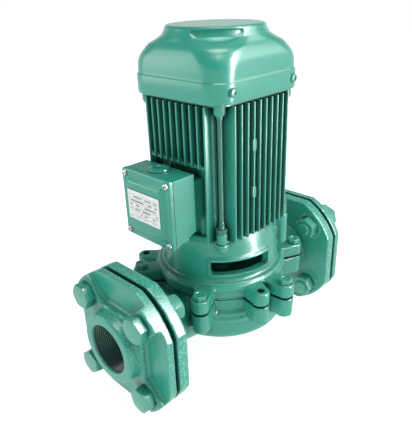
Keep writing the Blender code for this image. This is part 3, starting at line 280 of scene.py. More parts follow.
def softened(points, radius, steps=3):
    # a closed outline with its corners rounded; a point may carry its own radius as a third number
    made = []
    count = len(points)
    for i, point in enumerate(points):
        here = Vector(point[:2])
        bend = point[2] if len(point) > 2 else radius
        toLast = Vector(points[i - 1][:2]) - here
        toNext = Vector(points[(i + 1) % count][:2]) - here
        opening = toLast.angle(toNext, 0)
        if bend <= 0 or opening < 0.05 or opening > math.pi - 0.05:
            made.append(tuple(here))
            continue
        back = min(bend / math.tan(opening / 2), toLast.length * 0.48, toNext.length * 0.48)
        start = here + toLast.normalized() * back
        end = here + toNext.normalized() * back
        for step in range(steps + 1):
            t = step / steps
            made.append(tuple((1 - t) ** 2 * start + 2 * t * (1 - t) * here + t * t * end))
    return made


def arc(radius, start, end, steps, centre=(0, 0)):
    made = []
    for i in range(steps + 1):
        turn = math.radians(start + (end - start) * i / steps)
        made.append((centre[0] + radius * math.cos(turn), centre[1] + radius * math.sin(turn)))
    return made


def lathe(profile, steps=96, along=None):
    # a closed profile of (radius, height) points turned round Z
    shape = bmesh.new()
    rings = []
    for radius, height in profile:
        if radius < 0.01 * mm:
            rings.append([shape.verts.new((0, 0, height))] * steps)
        else:
            rings.append([shape.verts.new((radius * math.cos(fullTurn * i / steps),
                                           radius * math.sin(fullTurn * i / steps),
                                           height)) for i in range(steps)])
    for first, second in zip(rings, rings[1:] + rings[:1]):
        for i in range(steps):
            after = (i + 1) % steps
            corners = list(dict.fromkeys((first[i], first[after], second[after], second[i])))
            if len(corners) > 2:
                shape.faces.new(corners)
    return turned(shape, along)


def prism(outline, low, high, along=None):
    return stack([[(x, y, z) for x, y in outline] for z in (low, high)], along)


def stack(sections, along=None):
    # a closed skin through sections of equal point counts
    shape = bmesh.new()
    rings = [[shape.verts.new(point) for point in section] for section in sections]
    for first, second in zip(rings, rings[1:]):
        for i in range(len(first)):
            after = (i + 1) % len(first)
            shape.faces.new((first[i], first[after], second[after], second[i]))
    shape.faces.new(rings[0])
    shape.faces.new(rings[-1])
    return turned(shape, along)


def block(low, high):
    shape = bmesh.new()
    size = Vector(high) - Vector(low)
    middle = (Vector(high) + Vector(low)) / 2
    bmesh.ops.create_cube(shape, size=1, matrix=Matrix.Translation(middle) @ Matrix.Diagonal((*size, 1)))
    return shape


def rod(radius, low, high, centre=(0, 0), steps=48, top=None, along=None):
    # a round bar from low to high along Z; along turns it to another axis
    upper = radius if top is None else top
    made = lathe([(0, high), (upper, high), (radius, low), (0, low)], steps)
    shifted(made, (*centre, 0))
    return turned(made, along)


def turned(shape, along):
    # X: the shape's Z runs along +X and its Y stays; -Y: its Z runs along -Y
    if along == "X":
        bmesh.ops.transform(shape, verts=shape.verts, matrix=zToX)
    if along == "Y":
        bmesh.ops.transform(shape, verts=shape.verts, matrix=Matrix.Rotation(-math.pi / 2, 4, "X"))
    bmesh.ops.recalc_face_normals(shape, faces=shape.faces)
    return shape


def shifted(shape, move=(0, 0, 0), spin=0.0):
    bmesh.ops.transform(shape, verts=shape.verts, matrix=Matrix.Translation(move) @ Matrix.Rotation(spin, 4,
                                                                                                    "Z"))
    return shape


def together(name, shapes):
    whole = bmesh.new()
    for shape in shapes:
        part = bpy.data.meshes.new("part")
        shape.to_mesh(part)
        shape.free()
        whole.from_mesh(part)
        bpy.data.meshes.remove(part)
    mesh = bpy.data.meshes.new(name)
    whole.to_mesh(mesh)
    whole.free()
    made = bpy.data.objects.new(name, mesh)
    bpy.context.scene.collection.objects.link(made)
    return made


def takenBack(piece):
    # the piece's mesh as a loose shape again
    shape = bmesh.new()
    shape.from_mesh(piece.data)
    bpy.data.objects.remove(piece, do_unlink=True)
    return shape


def settle(piece, crease=32):
    # fixes the modifiers into the mesh
    bpy.context.view_layer.update()
    graph = bpy.context.evaluated_depsgraph_get()
    mesh = bpy.data.meshes.new_from_object(piece.evaluated_get(graph))
    old = piece.data
    piece.modifiers.clear()
    piece.data = mesh
    bpy.data.meshes.remove(old)
    mesh.shade_smooth()
    mesh.set_sharp_from_angle(angle=math.radians(crease))
    return piece


def change(piece, kind, **settings):
    made = piece.modifiers.new(kind.lower(), kind)
    for key, value in settings.items():
        setattr(made, key, value)
    return made


def carve(piece, cutters, solver="EXACT", operation="DIFFERENCE"):
    for i, cutter in enumerate(cutters):
        tool = together(f"{piece.name}Tool{i}", [cutter] if isinstance(cutter, bmesh.types.BMesh) else cutter)
        change(piece, "BOOLEAN", operation=operation, solver=solver, object=tool)
        settle(piece)
        bpy.data.objects.remove(tool, do_unlink=True)
    return piece


def cast(name, solids, cutters, grain, passes=6):
    # overlapping solids melted into one casting with soft fillets, then machined with crisp cutters
    piece = together(name, solids)
    change(piece, "REMESH", mode="VOXEL", voxel_size=grain, use_smooth_shade=True)
    change(piece, "SMOOTH", factor=0.5, iterations=passes)
    settle(piece, 50)
    carve(piece, cutters, "MANIFOLD")
    print(name, len(piece.data.polygons), "faces")
    return piece


def rounded(piece, width, limit=35, segments=2):
    change(piece, "BEVEL", width=width, segments=segments, limit_method="ANGLE",
           angle_limit=math.radians(limit),
           harden_normals=False)
    return settle(piece, 40)


def fitted(piece, finish, body, nodes=()):
    piece.data.materials.clear()
    piece.data.materials.append(finish)
    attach(piece, body)
    if nodes:
        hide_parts(*nodes)
    return piece


def copyOf(piece, name):
    made = piece.copy()
    made.name = name
    bpy.context.scene.collection.objects.link(made)
    return made


# --- pump body ---
body = {
    "wall": 74, "upperWall": 72, "rib": 75.6, "floor": 41, "flangeRadius": 77.5, "flangeFlat": 71,
    "flangeThick": 13,
    "branchRadius": 34, "lugRadius": 9.5, "lugFoot": 70, "lugReach": 94, "jackReach": 89, "slot": 0.5,
    "voxel": 1.4,
}
lugAngles = (-150, -90, -30, 30, 90, 150)
jackAngles = (-109, 129)
lugSpots = [(a, body["lugReach"]) for a in lugAngles] + [(a, body["jackReach"]) for a in jackAngles]
flangeFace = bodyHigh.x
joint = gasketLow.z - fitGap
boltOffset = 60 * mm / math.sqrt(2)
boltPlaces = [(y * boltOffset, axisHeight + z * boltOffset) for y, z in ((1, 1), (1, -1), (-1, 1), (-1, -1))]


def oval(x, halfWidth, low, high, power=2.0, steps=48):
    made = []
    for i in range(steps):
        across, up = math.cos(fullTurn * i / steps), math.sin(fullTurn * i / steps)
        y = halfWidth * math.copysign(abs(across) ** (2 / power), across)
        z = (low + high) / 2 + (high - low) / 2 * math.copysign(abs(up) ** (2 / power), up)
        made.append((x, y, z))
    return made


def flangePlate(low, high, radius=None, flat=None):
    # a disc across X with four flats
    radius = radius or body["flangeRadius"] * mm
    flat = flat or body["flangeFlat"] * mm
    reach = math.degrees(math.acos(flat / radius))
    rim = []
    for quarter in range(4):
        rim += arc(radius, quarter * 90 + reach, quarter * 90 + 90 - reach, 16)
    made = stack([[(x, y, axisHeight + z) for y, z in rim] for x in (low, high)])
    return made


def lugs(low, high, lowRadius, highRadius, pad=0.0):
    made = []
    for angle, reach in lugSpots:
        turn = math.radians(angle)
        spot = (reach * mm * math.cos(turn), reach * mm * math.sin(turn))
        made.append(rod(highRadius, low, high, spot, 32) if lowRadius == highRadius else
                    shifted(lathe([(0, high), (highRadius, high), (lowRadius, low), (0, low)], 32),
                            (*spot, 0)))
        web = prism([(66 * mm, -highRadius - pad), (reach * mm, -highRadius + 0.4 * mm),
                     (reach * mm, highRadius - 0.4 * mm), (66 * mm, highRadius + pad)], low + 0.6 * mm,
                     high - 0.6 * mm)
        made.append(shifted(web, spin=turn))
    return made


def lugHoles(radius, low, high):
    return [rod(radius, low, high, (reach * mm * math.cos(math.radians(angle)),
                                    reach * mm * math.sin(math.radians(angle))), 24) for angle, reach in lugSpots]


def pumpBody():
    wall, upper, rib, floor = (body[key] * mm for key in ("wall", "upperWall", "rib", "floor"))
    radius = body["branchRadius"] * mm
    side = [(0, joint), (upper, joint), (upper, 78.5 * mm), (rib, 77.3 * mm), (rib, 74.6 * mm),
            (wall, 73.2 * mm),
            (wall, 70.6 * mm), (rib, 69.6 * mm), (rib, 67 * mm), (wall, 65.6 * mm), (wall, floor + 8 * mm),
            (wall - 2 * mm, floor + 3 * mm), (wall - 7 * mm, floor), (0, floor)]
    solids = [lathe(side)] + lugs(body["lugFoot"] * mm, joint, 8.6 * mm, body["lugRadius"] * mm, 2 * mm)
    for way in (-1, 1):
        back = way * (flangeFace - body["flangeThick"] * mm)
        neck = way * (upper + 6 * mm)
        solids.append(stack([
            oval(back + way * 2 * mm, radius, axisHeight - radius, axisHeight + radius),
            oval(back - way * 18 * mm, radius, axisHeight - radius, axisHeight + radius * 0.95),
            oval(neck + way * 6 * mm, radius * 1.06, axisHeight - radius * 0.9, joint + 2.7 * mm, 2.2),
            oval(neck, radius * 1.1, floor + mm, joint - fitGap, 2.4),
            oval(neck - way * 24 * mm, radius * 1.2, floor + 2 * mm, joint - 1.3 * mm, 2.6)]))
        solids.append(flangePlate(min(back, way * flangeFace), max(back, way * flangeFace)))
        for y, z in boltPlaces:  # nut pads behind the flange
            pad = rod(15.5 * mm, back - way * 1.2 * mm if way > 0 else back - 2 * mm,
                      back + 2 * mm if way > 0 else back + 1.2 * mm, steps=32, along="X")
            shifted(pad, (0, y, z))
            solids.append(pad)
    waterway = 25 * mm
    chamber = rod(62 * mm, 72 * mm, joint + 2 * mm)
    pocket = rod(42 * mm, 47 * mm, 68 * mm)
    eye = rod(23.5 * mm, 60 * mm, 75 * mm)
    suction = stack([oval(-flangeFace - mm, waterway, axisHeight - waterway, axisHeight + waterway),
                     oval(-102 * mm, waterway, axisHeight - waterway, axisHeight + waterway),
                     oval(-66 * mm, waterway * 1.1, 47 * mm, 68 * mm, 2.6),
                     oval(-34 * mm, waterway * 1.1, 47 * mm, 68 * mm, 2.6)])
    discharge = stack([oval(46 * mm, waterway * 0.9, 73 * mm, 88.5 * mm, 2.6),
                       oval(64 * mm, waterway * 0.95, 72 * mm, 88.5 * mm, 2.4),
                       oval(102 * mm, waterway, axisHeight - waterway, axisHeight + waterway),
                       oval(flangeFace + mm, waterway, axisHeight - waterway, axisHeight + waterway)])
    slot = lathe([(79 * mm, joint + mm), (120 * mm, joint + mm), (120 * mm, joint - body["slot"] * mm),
                  (79 * mm, joint - body["slot"] * mm)])  # the ears stand a little below the joint
    made = cast("pumpBody", solids, [chamber, pocket, eye, suction, discharge, slot], body["voxel"] * mm, 3)
    for way in (-1, 1):
        ends = []
        for y, z in boltPlaces:
            low, high = sorted((way * 110 * mm, way * 140 * mm))
            hole = rod(9.2 * mm, low, high, steps=24, along="X")
            shifted(hole, (0, y, z))
            ends.append(hole)
        carve(made, [ends], "MANIFOLD")
    carve(made, [lugHoles(4.4 * mm, 60 * mm, joint + 2 * mm)], "MANIFOLD")
    return fitted(settle(made, 40), paintBody, "pump", ("pump_body",))


pumpBody()

# --- companion flanges, gaskets and their bolts ---
companion = {"plate": 8.4, "block": 7, "blockHalf": 40.5, "lobe": 13.5, "hub": 37.8, "bore": 26,
             "thread": 2.31,
             "voxel": 1.1}


def blockOutline(half, lobe):
    end = 95 * mm
    corner = [(half, half - lobe * math.sqrt(2)), ((end + lobe) / math.sqrt(2), (end - lobe) / math.sqrt(2)),
              ((end - lobe) / math.sqrt(2), (end + lobe) / math.sqrt(2)), (half - lobe * math.sqrt(2), half)]
    made = []
    for quarter in range(4):
        turn = Matrix.Rotation(quarter * math.pi / 2, 2)
        made += [tuple(turn @ Vector(point)) for point in corner]
    return made


def companionFlange():
    back = hubLow.x
    plateFront = back + companion["plate"] * mm
    blockFront = plateFront + companion["block"] * mm
    half, lobe, hub = (companion[key] * mm for key in ("blockHalf", "lobe", "hub"))
    raisedBlock = [stack([[(x, y, axisHeight + z) for y, z in blockOutline(half - inset, lobe - inset * 0.8)]
                          for x, inset in ((back + mm, -2.2 * mm), (plateFront, -2.2 * mm),
                                           (plateFront + 1.8 * mm, 0),
                                        (blockFront - 1.2 * mm, 0), (blockFront, 1.2 * mm))])]
    rim = flangePlate(back - mm, blockFront + 2 * mm)
    blockPiece = together("blockPiece", raisedBlock)
    carve(blockPiece, [rim], "MANIFOLD", "INTERSECT")
    shape = takenBack(blockPiece)
    hubShape = lathe([(0, hubHigh.x), (hub - 2.2 * mm, hubHigh.x), (hub - 0.6 * mm, hubHigh.x - 0.7 * mm),
                      (hub, hubHigh.x - 2.4 * mm), (hub + 0.6 * mm, blockFront + 1.6 * mm),
                      (hub + 2.4 * mm, blockFront),
                      (hub + 2.4 * mm, plateFront), (0, plateFront)], 96)
    hubShape = shifted(turned(hubShape, "X"), (0, 0, axisHeight))
    solids = [flangePlate(back, plateFront), shape, hubShape]
    threads = []
    bore, pitch = companion["bore"] * mm, companion["thread"] * mm
    place = back - 2 * mm
    while place < hubHigh.x - 3 * mm:
        threads += [(bore - 0.1 * mm, place), (bore + 1.15 * mm, place + pitch / 2)]
        place += pitch
    cutter = lathe([(0, back - 2 * mm)] + threads + [(bore, hubHigh.x - 3 * mm),
                                                     (bore + 1.6 * mm, hubHigh.x + mm),
                                                     (0, hubHigh.x + mm)], 72)
    cutter = shifted(turned(cutter, "X"), (0, 0, axisHeight))
    holes = []
    for y, z in boltPlaces:
        hole = rod(9.2 * mm, back - 4 * mm, blockFront + 4 * mm, steps=32, along="X")
        shifted(hole, (0, y, z))
        holes.append(hole)
    made = cast("companionFlangeFar", solids, [cutter], companion["voxel"] * mm, 3)
    carve(made, [holes], "MANIFOLD")
    return made


farFlange = companionFlange()
nearFlange = copyOf(farFlange, "companionFlangeNear")
nearFlange.rotation_euler = (0, 0, math.pi)
fitted(farFlange, paintSand, "pump", ("companion_flange_far",))
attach(nearFlange, "pump")
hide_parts("companion_flange_near")


def hexOutline(flats, spin=0.0):
    reach = flats / 2 / math.cos(math.pi / 6)
    return [(reach * math.cos(spin + fullTurn * i / 6),
             reach * math.sin(spin + fullTurn * i / 6)) for i in range(6)]


def hexBlock(name, flats, low, high, spin=0.0, lowChamfer=False, highChamfer=True):
    # a hexagon whose corners are cut back by a cone at one or both ends
    reach = flats / 2 / math.cos(math.pi / 6)
    face = flats * 0.515
    slope = (reach - face) * math.tan(math.radians(32))
    made = together(name, [prism(hexOutline(flats, spin), low, high)])
    tops = [(0, high), (face, high), (reach + 0.2 * mm, high - slope)] if highChamfer else \
        [(0, high + mm), (reach + 0.2 * mm, high + mm)]
    ends = [(reach + 0.2 * mm, low + slope), (face, low), (0, low)] if lowChamfer else \
        [(reach + 0.2 * mm, low - mm), (0, low - mm)]
    carve(made, [lathe(tops + ends, 72)], "MANIFOLD", "INTERSECT")
    return takenBack(made)


def threadProfile(radius, depth, pitch, low, high):
    made = []
    place = low
    while place + pitch < high:
        made += [(radius, place), (radius, place + pitch * 0.25), (radius - depth, place + pitch * 0.6),
                 (radius, place + pitch * 0.95)]
        place += pitch
    return made


def joined(name, shapes, solver="MANIFOLD"):
    base = together(name, [shapes[0]])
    return carve(base, [[shape] for shape in shapes[1:]], solver, "UNION")


flangeBolt = {"size": 16, "flats": 24, "head": 10, "nut": 13, "tail": 3, "pitch": 2, "grip": 33.3}


def flangeBoltMesh():
    size, flats, head, nut, tail, pitch, grip = (flangeBolt[key] * mm for key in
                                                ("size", "flats", "head", "nut", "tail", "pitch", "grip"))
    bottom = -grip - nut - tail
    shank = lathe([(0, mm), (size / 2, mm), (size / 2, -grip + 4 * mm)]
                  + [(r, z) for r, z in reversed(threadProfile(size / 2, 1.1 * mm, pitch, bottom + 1.5 * mm,
                                                               -grip + 3 * mm))]
                  + [(size / 2 - 1.2 * mm, bottom), (0, bottom)], 40)
    headShape = hexBlock("boltHead", flats, 0, head)
    nutShape = hexBlock("boltNut", flats, -grip - nut, -grip, math.radians(12), True, False)
    return rounded(joined("flangeBoltFar1", [shank, headShape, nutShape]), 0.45 * mm, 28)


firstBolt = flangeBoltMesh()
for side, way in (("far", 1), ("near", -1)):
    for i in range(1, 5):
        low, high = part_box(f"flange_bolt_{side}_{i}")
        piece = firstBolt if (side, i) == ("far", 1) else copyOf(firstBolt, f"flangeBolt{side.title()}{i}")
        headUnder = (high.x if way > 0 else -low.x) - flangeBolt["head"] * mm
        tilt = (0.35, -0.2, 0.12, 0.55)[i - 1]  # each bolt stopped at its own angle
        turn = zToX @ Matrix.Rotation(tilt, 4, "Z")
        spot = Matrix.Translation((way * headUnder, (low.y + high.y) / 2, (low.z + high.z) / 2))
        piece.matrix_world = spot @ (Matrix.Rotation(math.pi, 4, "Z") if way < 0 else Matrix()) @ turn
        fitted(piece, paintBolt, "pump", (f"flange_bolt_{side}_{i}",))
print("flanges and bolts made")

# --- lantern ---
lantern = {"flange": 75, "skirt": 72, "lip": 72, "dome": 66.5, "top": 58, "windowLow": 121, "windowHigh": 137,
           "windowStart": -146, "windowEnd": -86, "boss": 7, "bossPlace": 50, "voxel": 1.4}


def windowBand(start, end, low, high, reachIn, reachOut, corner):
    # a block that follows the dome, with rounded corners seen from outside
    mid = (reachIn + reachOut) / 2
    width = math.radians(end - start) * mid
    face = softened([(-width / 2, low), (width / 2, low), (width / 2, high), (-width / 2, high)], corner, 5)
    filled = []
    for first, second in zip(face, face[1:] + face[:1]):  # extra points, so that long edges can bend
        count = max(1, round((Vector(second) - Vector(first)).length / (3 * mm)))
        filled += [tuple(Vector(first).lerp(Vector(second), i / count)) for i in range(count)]
    centre = math.radians((start + end) / 2)
    rings = [[(r * math.cos(centre + u / mid), r * math.sin(centre + u / mid), z) for u, z in filled]
             for r in (reachIn, reachOut)]
    shape = stack(rings)
    bmesh.ops.triangulate(shape, faces=shape.faces)
    return shape


def lanternCasting():
    flange, skirt, lip, dome, top = (lantern[key] * mm for key in ("flange", "skirt", "lip", "dome", "top"))
    low, high = lanternLow.z + 3.7 * mm, lanternHigh.z
    flangeTop = casingBoltHigh.z - 5.3 * mm - fitGap
    lipTop = flangeTop + 3.7 * mm
    side = [(0, high), (top, high), (top + 3 * mm, high - 6 * mm), (dome - 2.2 * mm, high - 20 * mm),
            (dome, lipTop + 2 * mm), (dome + 1.2 * mm, lipTop), (lip, lipTop), (lip, flangeTop),
            (flange, flangeTop),
            (flange, flangeTop - 4 * mm), (skirt, flangeTop - 5.4 * mm), (skirt, low), (61.7 * mm, low),
            (61.7 * mm, lanternLow.z), (0, lanternLow.z)]
    solids = [lathe(side, 128)] + lugs(low, flangeTop, body["lugRadius"] * mm, body["lugRadius"] * mm,
                                       2.5 * mm)
    place, boss = lantern["bossPlace"] * mm, lantern["boss"] * mm
    for x, y in ((1, 1), (1, -1), (-1, 1), (-1, -1)):
        height = 38 * mm if x > 0 > y else 10 * mm
        spot = (x * place, y * place)
        solids.append(shifted(lathe([(0, high), (boss, high), (boss - 0.4 * mm, high - height + 3 * mm),
                                     (boss * 0.8, high - height + mm), (boss * 0.5, high - height),
                                     (0, high - height)], 40), (*spot, 0)))
        reach = math.hypot(*spot)
        web = prism([(top - 12 * mm, -boss * 0.75), (reach, -boss * 0.75), (reach, boss * 0.75),
                     (top - 12 * mm, boss * 0.75)], high - height + 3 * mm, high - 0.6 * mm)
        solids.append(shifted(web, spin=math.atan2(spot[1], spot[0])))
    starts = [(lantern["windowStart"] + turn, lantern["windowEnd"] + turn) for turn in (0, 180)]
    sill, head = lantern["windowLow"] * mm, lantern["windowHigh"] * mm
    for start, end in starts:
        solids.append(windowBand(start - 2.4, end + 2.4, sill - 2.6 * mm, head + 2.6 * mm, dome - 6 * mm,
                                 dome + 1.1 * mm, 4 * mm))
    roof = 146 * mm
    hollow = lathe([(0, roof - 3 * mm), (22.5 * mm, roof - 3 * mm), (24.5 * mm, roof), (dome - 14 * mm, roof),
                    (dome - 7 * mm, roof - 12 * mm), (dome - 6 * mm, 108 * mm), (dome - 12 * mm, 100 * mm),
                    (22 * mm, 100 * mm), (20 * mm, 106.4 * mm), (0, 106.4 * mm)], 96)
    seat = lathe([(0, high + mm), (17.8 * mm, high + mm), (17.8 * mm, 149.7 * mm), (9 * mm, 149.7 * mm),
                  (9 * mm, 102.4 * mm), (15 * mm, 102.4 * mm), (15 * mm, 88 * mm), (0, 88 * mm)], 64)
    made = cast("lanternCasting", solids, [hollow, seat], lantern["voxel"] * mm, 3)
    for start, end in starts:
        carve(made, [windowBand(start, end, sill, head, dome - 18 * mm, dome + 14 * mm, 2.5 * mm)],
              "MANIFOLD")
    carve(made, [lugHoles(4.4 * mm, low - 2 * mm, flangeTop + 3 * mm)], "MANIFOLD")
    carve(made, [[rod(3.3 * mm, high - 12 * mm, high + 2 * mm, (x * place, y * place), 24)
                  for x in (-1, 1) for y in (-1, 1)]], "MANIFOLD")
    return fitted(settle(made, 40), paintCast, "pump", ("lantern",))


lanternCasting()

clampBolt = {"size": 8, "flats": 13, "head": 5.3, "reach": 32, "dish": 4.6}


def clampBoltMesh():
    size, flats, head, reach, dish = (clampBolt[key] * mm for key in ("size", "flats", "head", "reach",
                                                                      "dish"))
    shank = lathe([(0, mm), (size / 2, mm), (size / 2, -reach + mm), (size / 2 - 0.8 * mm, -reach),
                   (0, -reach)], 32)
    made = joined("casingBolt1", [shank, hexBlock("clampHead", flats, 0, head)])
    carve(made, [lathe([(0, head + mm), (dish, head + mm), (dish, head - 0.1 * mm),
                        (dish - 0.9 * mm, head - 0.9 * mm),
                        (0, head - 0.9 * mm)], 40)], "MANIFOLD")
    return rounded(made, 0.3 * mm, 28)


firstClamp = clampBoltMesh()
for i in range(1, 7):
    low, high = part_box(f"casing_bolt_{i}")
    piece = firstClamp if i == 1 else copyOf(firstClamp, f"casingBolt{i}")
    x, y = (low.x + high.x) / 2, (low.y + high.y) / 2
    piece.matrix_world = (Matrix.Translation((x, y, high.z - clampBolt["head"] * mm))
                          @ Matrix.Rotation(math.atan2(y, x) + (0.1, -0.25, 0.4, 0.2, -0.1, 0.3)[i - 1], 4,
                                            "Z"))
    fitted(piece, paintBolt, "pump", (f"casing_bolt_{i}",))
print("lantern made")

# --- motor frame ---
motor = {"fins": 10, "reach": 61, "bulge": 1.2, "core": 48, "crown": 0.6, "notch": 41.5, "groove": 4.5,
         "rootHalf": 1.6, "tipHalf": 1.1, "bore": 43.5, "lug": 5.6, "ledge": 239.5}


def crownedAt(reach, crown, across):
    share = across / (motor["notch"] * mm)
    return reach * mm + crown * mm * (1 - share * share)


def frameOutline():
    notch, rootHalf, tipHalf = (motor[key] * mm for key in ("notch", "rootHalf", "tipHalf"))
    first = -notch + 1.3 * mm
    pitch = -2 * first / (motor["fins"] - 1)
    face = []
    for i in range(motor["fins"]):
        middle = first + pitch * i
        lowRoot = middle - (1.3 * mm if i == 0 else rootHalf)
        highRoot = middle + (1.3 * mm if i == motor["fins"] - 1 else rootHalf)
        tip = crownedAt(motor["reach"], motor["bulge"], middle)
        low = notch if i == 0 else crownedAt(motor["core"], motor["crown"], lowRoot)
        high = notch if i == motor["fins"] - 1 else crownedAt(motor["core"], motor["crown"], highRoot)
        face += [(low, lowRoot, 2 * mm), (tip, middle - tipHalf, 1.05 * mm),
                 (tip, middle + tipHalf, 1.05 * mm),
                 (high, highRoot, 2 * mm)]
    deep = motor["groove"] * mm  # a groove behind each tie rod
    face[:1] = [(notch, -notch - deep, mm), (notch - deep, -notch + deep, 1.5 * mm),
                (notch + deep, -notch, mm)]
    made = []
    for quarter in range(4):
        turn = Matrix.Rotation(quarter * math.pi / 2, 2)
        made += [(*(turn @ Vector(point[:2])), point[2]) for point in face[:-1]]
    return softened(made, mm, 3)


def finPlace(i):
    return (-motor["notch"] + 1.3) * mm + 2 * (motor["notch"] - 1.3) * mm / (motor["fins"] - 1) * i


def cornerLug(low, high, x, y, roundFoot):
    # a round boss on a tie rod, with a web back to the corner
    place, reach = lantern["bossPlace"] * mm, motor["lug"] * mm
    foot = [(reach, low + 3.5 * mm), (reach * 0.8, low + 1.2 * mm), (reach * 0.4, low),
            (0, low)] if roundFoot else \
        [(reach, low + 0.6 * mm), (reach - 0.6 * mm, low), (0, low)]
    boss = shifted(lathe([(0, high), (reach - 0.6 * mm, high), (reach, high - 0.6 * mm)] + foot, 40),
                   (x * place, y * place, 0))
    web = prism([(place * math.sqrt(2) - 13.5 * mm, -4.3 * mm), (place * math.sqrt(2), -4.3 * mm),
                 (place * math.sqrt(2), 4.3 * mm), (place * math.sqrt(2) - 13.5 * mm, 4.3 * mm)],
                low + (2 * mm if roundFoot else 0.1 * mm), high - 0.1 * mm)
    shifted(web, spin=math.atan2(y, x))
    whole = joined("lugPiece", [boss, web])
    return takenBack(whole)


def motorFrame():
    low, high = motorLow.z, motorHigh.z
    made = together("motorFrame", [prism(frameOutline(), low, high)])
    extras = []
    for x, y in ((1, 1), (1, -1), (-1, 1), (-1, -1)):
        extras.append(cornerLug(low, low + 11 * mm, x, y, False))
    for height in (209, 258):  # ejector bumps on one fin of the -Y face
        bump = softened([(-2.5 * mm, -6 * mm), (2.5 * mm, -6 * mm), (2.5 * mm, 6 * mm), (-2.5 * mm, 6 * mm)],
                        2.2 * mm, 4)
        tip = crownedAt(motor["reach"], motor["bulge"], finPlace(3))
        extras.append(stack([[(finPlace(3) + a, y, height * mm + b) for a, b in bump]
                             for y in (-tip + 0.1 * mm, -motor["core"] * mm)]))
    earth = rod(4.6 * mm, -58 * mm, -46 * mm, steps=32, along="Y")  # boss for the earth screw
    bmesh.ops.transform(earth, verts=earth.verts, matrix=Matrix.Translation((finPlace(6.5), 0, low + 8 * mm)))
    extras.append(earth)
    carve(made, [[extra] for extra in extras], "MANIFOLD", "UNION")
    shelf = motor["ledge"] * mm
    back = -(motor["core"] + motor["crown"] + 1.2) * mm
    edge = (motor["notch"] - 2.9) * mm
    cutters = [block((-70 * mm, -edge, low - mm), (back, edge, shelf))]
    for i in range(motor["fins"] - 1):  # each channel over the box ends in a round bottom
        middle = (finPlace(i) + finPlace(i + 1)) / 2
        cutters.append(middle)
    carve(made, [cutters[0]], "MANIFOLD")
    ledge = [block((-(motor["reach"] - 1.5) * mm, -edge - 0.2 * mm, shelf - 0.2 * mm),
                   (back + 2 * mm, edge + 0.2 * mm, shelf + 4.6 * mm))]
    carve(made, [ledge], "MANIFOLD", "UNION")
    scoops = []
    for middle in cutters[1:]:
        scoop = rod(2.75 * mm, -75 * mm, back - 0.3 * mm, steps=24, along="X")
        shifted(scoop, (0, middle, shelf + 4.9 * mm))
        scoops.append(scoop)
    carve(made, [scoops], "MANIFOLD")
    carve(made, [[rod(3.3 * mm, low - mm, low + 14 * mm, (x * lantern["bossPlace"] * mm,
                                                          y * lantern["bossPlace"] * mm), 24)
                  for x in (-1, 1) for y in (-1, 1)]], "MANIFOLD")
    carve(made, [rod(motor["bore"] * mm, low - mm, high + mm, steps=96)], "MANIFOLD")
    wires = rod(8 * mm, -60 * mm, -40 * mm, steps=32, along="X")
    shifted(wires, (0, 0, (boxLow.z + boxHigh.z) / 2))
    carve(made, [wires], "MANIFOLD")
    return fitted(rounded(made, 0.4 * mm, 50), paintMotor, "pump", ("motor_frame",))


motorFrame()

tieRod = {"size": 6, "waist": 4.8, "flats": 10, "nut": 4.9, "pitch": 1}


def tieRodMesh(low, high, nutLow):
    size, waist, flats, nut, pitch = (tieRod[key] * mm for key in ("size", "waist", "flats", "nut", "pitch"))
    shank = lathe([(0, high), (size / 2, high), (size / 2, high - 16 * mm), (waist / 2, high - 17 * mm),
                   (waist / 2, low + 35 * mm), (size / 2, low + 34 * mm)]
                  + list(reversed(threadProfile(size / 2, 0.55 * mm, pitch, low + mm, low + 33 * mm)))
                  + [(size / 2 - 0.6 * mm, low), (0, low)], 32)
    return rounded(joined("tieRod1", [shank, hexBlock("tieNut", flats, nutLow, nutLow + nut, 0, True, True)]),
                   0.3 * mm, 28)


rodLow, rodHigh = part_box("tie_rod_1")
firstRod = tieRodMesh(rodLow.z, rodHigh.z, 172.6 * mm)
for i in range(1, 5):
    low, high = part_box(f"tie_rod_{i}")
    piece = firstRod if i == 1 else copyOf(firstRod, f"tieRod{i}")
    piece.matrix_world = (Matrix.Translation(((low.x + high.x) / 2, (low.y + high.y) / 2, 0))
                          @ Matrix.Rotation((0.2, 0.7, 0.4, 0.0)[i - 1], 4, "Z"))
    fitted(piece, shadedRodPaint, "pump", (f"tie_rod_{i}",))
print("motor frame made")

# --- fan cowl ---
cowl = {"half": 62.4, "corner": 20.5, "wall": 1.5, "step": 322, "cap": 49, "screwPlace": 45,
        "screwHeight": 313,
        "dishTurn": 225, "dishSpread": 29, "dishLow": 352.5, "dishHigh": 363.5, "dishDepth": 2.2,
        "steps": 240}


def roundSquare(half, corner, height, steps):
    centre = half - corner
    made = []
    for i in range(steps):
        angle = fullTurn * (i + 0.5) / steps
        across, up = sorted((abs(math.cos(angle)), abs(math.sin(angle))), reverse=True)
        reach = half / across
        if reach * up > centre:
            along = centre * (across + up)
            reach = along + math.sqrt(max(0, along * along - 2 * centre * centre + corner ** 2))
        made.append((reach * math.cos(angle), reach * math.sin(angle), height))
    return made


def smoothRows(rows, count):
    # a Catmull-Rom curve through rows of numbers, with count steps between each two
    made = []
    for i in range(len(rows) - 1):
        before, here, there, after = rows[max(i - 1, 0)], rows[i], rows[i + 1], rows[min(i + 2,
                                                                                         len(rows) - 1)]
        for step in range(count):
            t = step / count
            made.append(tuple(0.5 * (2 * b + (c - a) * t + (2 * a - 5 * b + 4 * c - d) * t * t
                                     + (3 * b - a - 3 * c + d) * t ** 3)
                              for a, b, c, d in zip(before, here, there, after)))
    return made + [tuple(rows[-1])]


def smoothStep(low, high, value):
    t = min(1, max(0, (value - low) / (high - low)))
    return t * t * (3 - 2 * t)


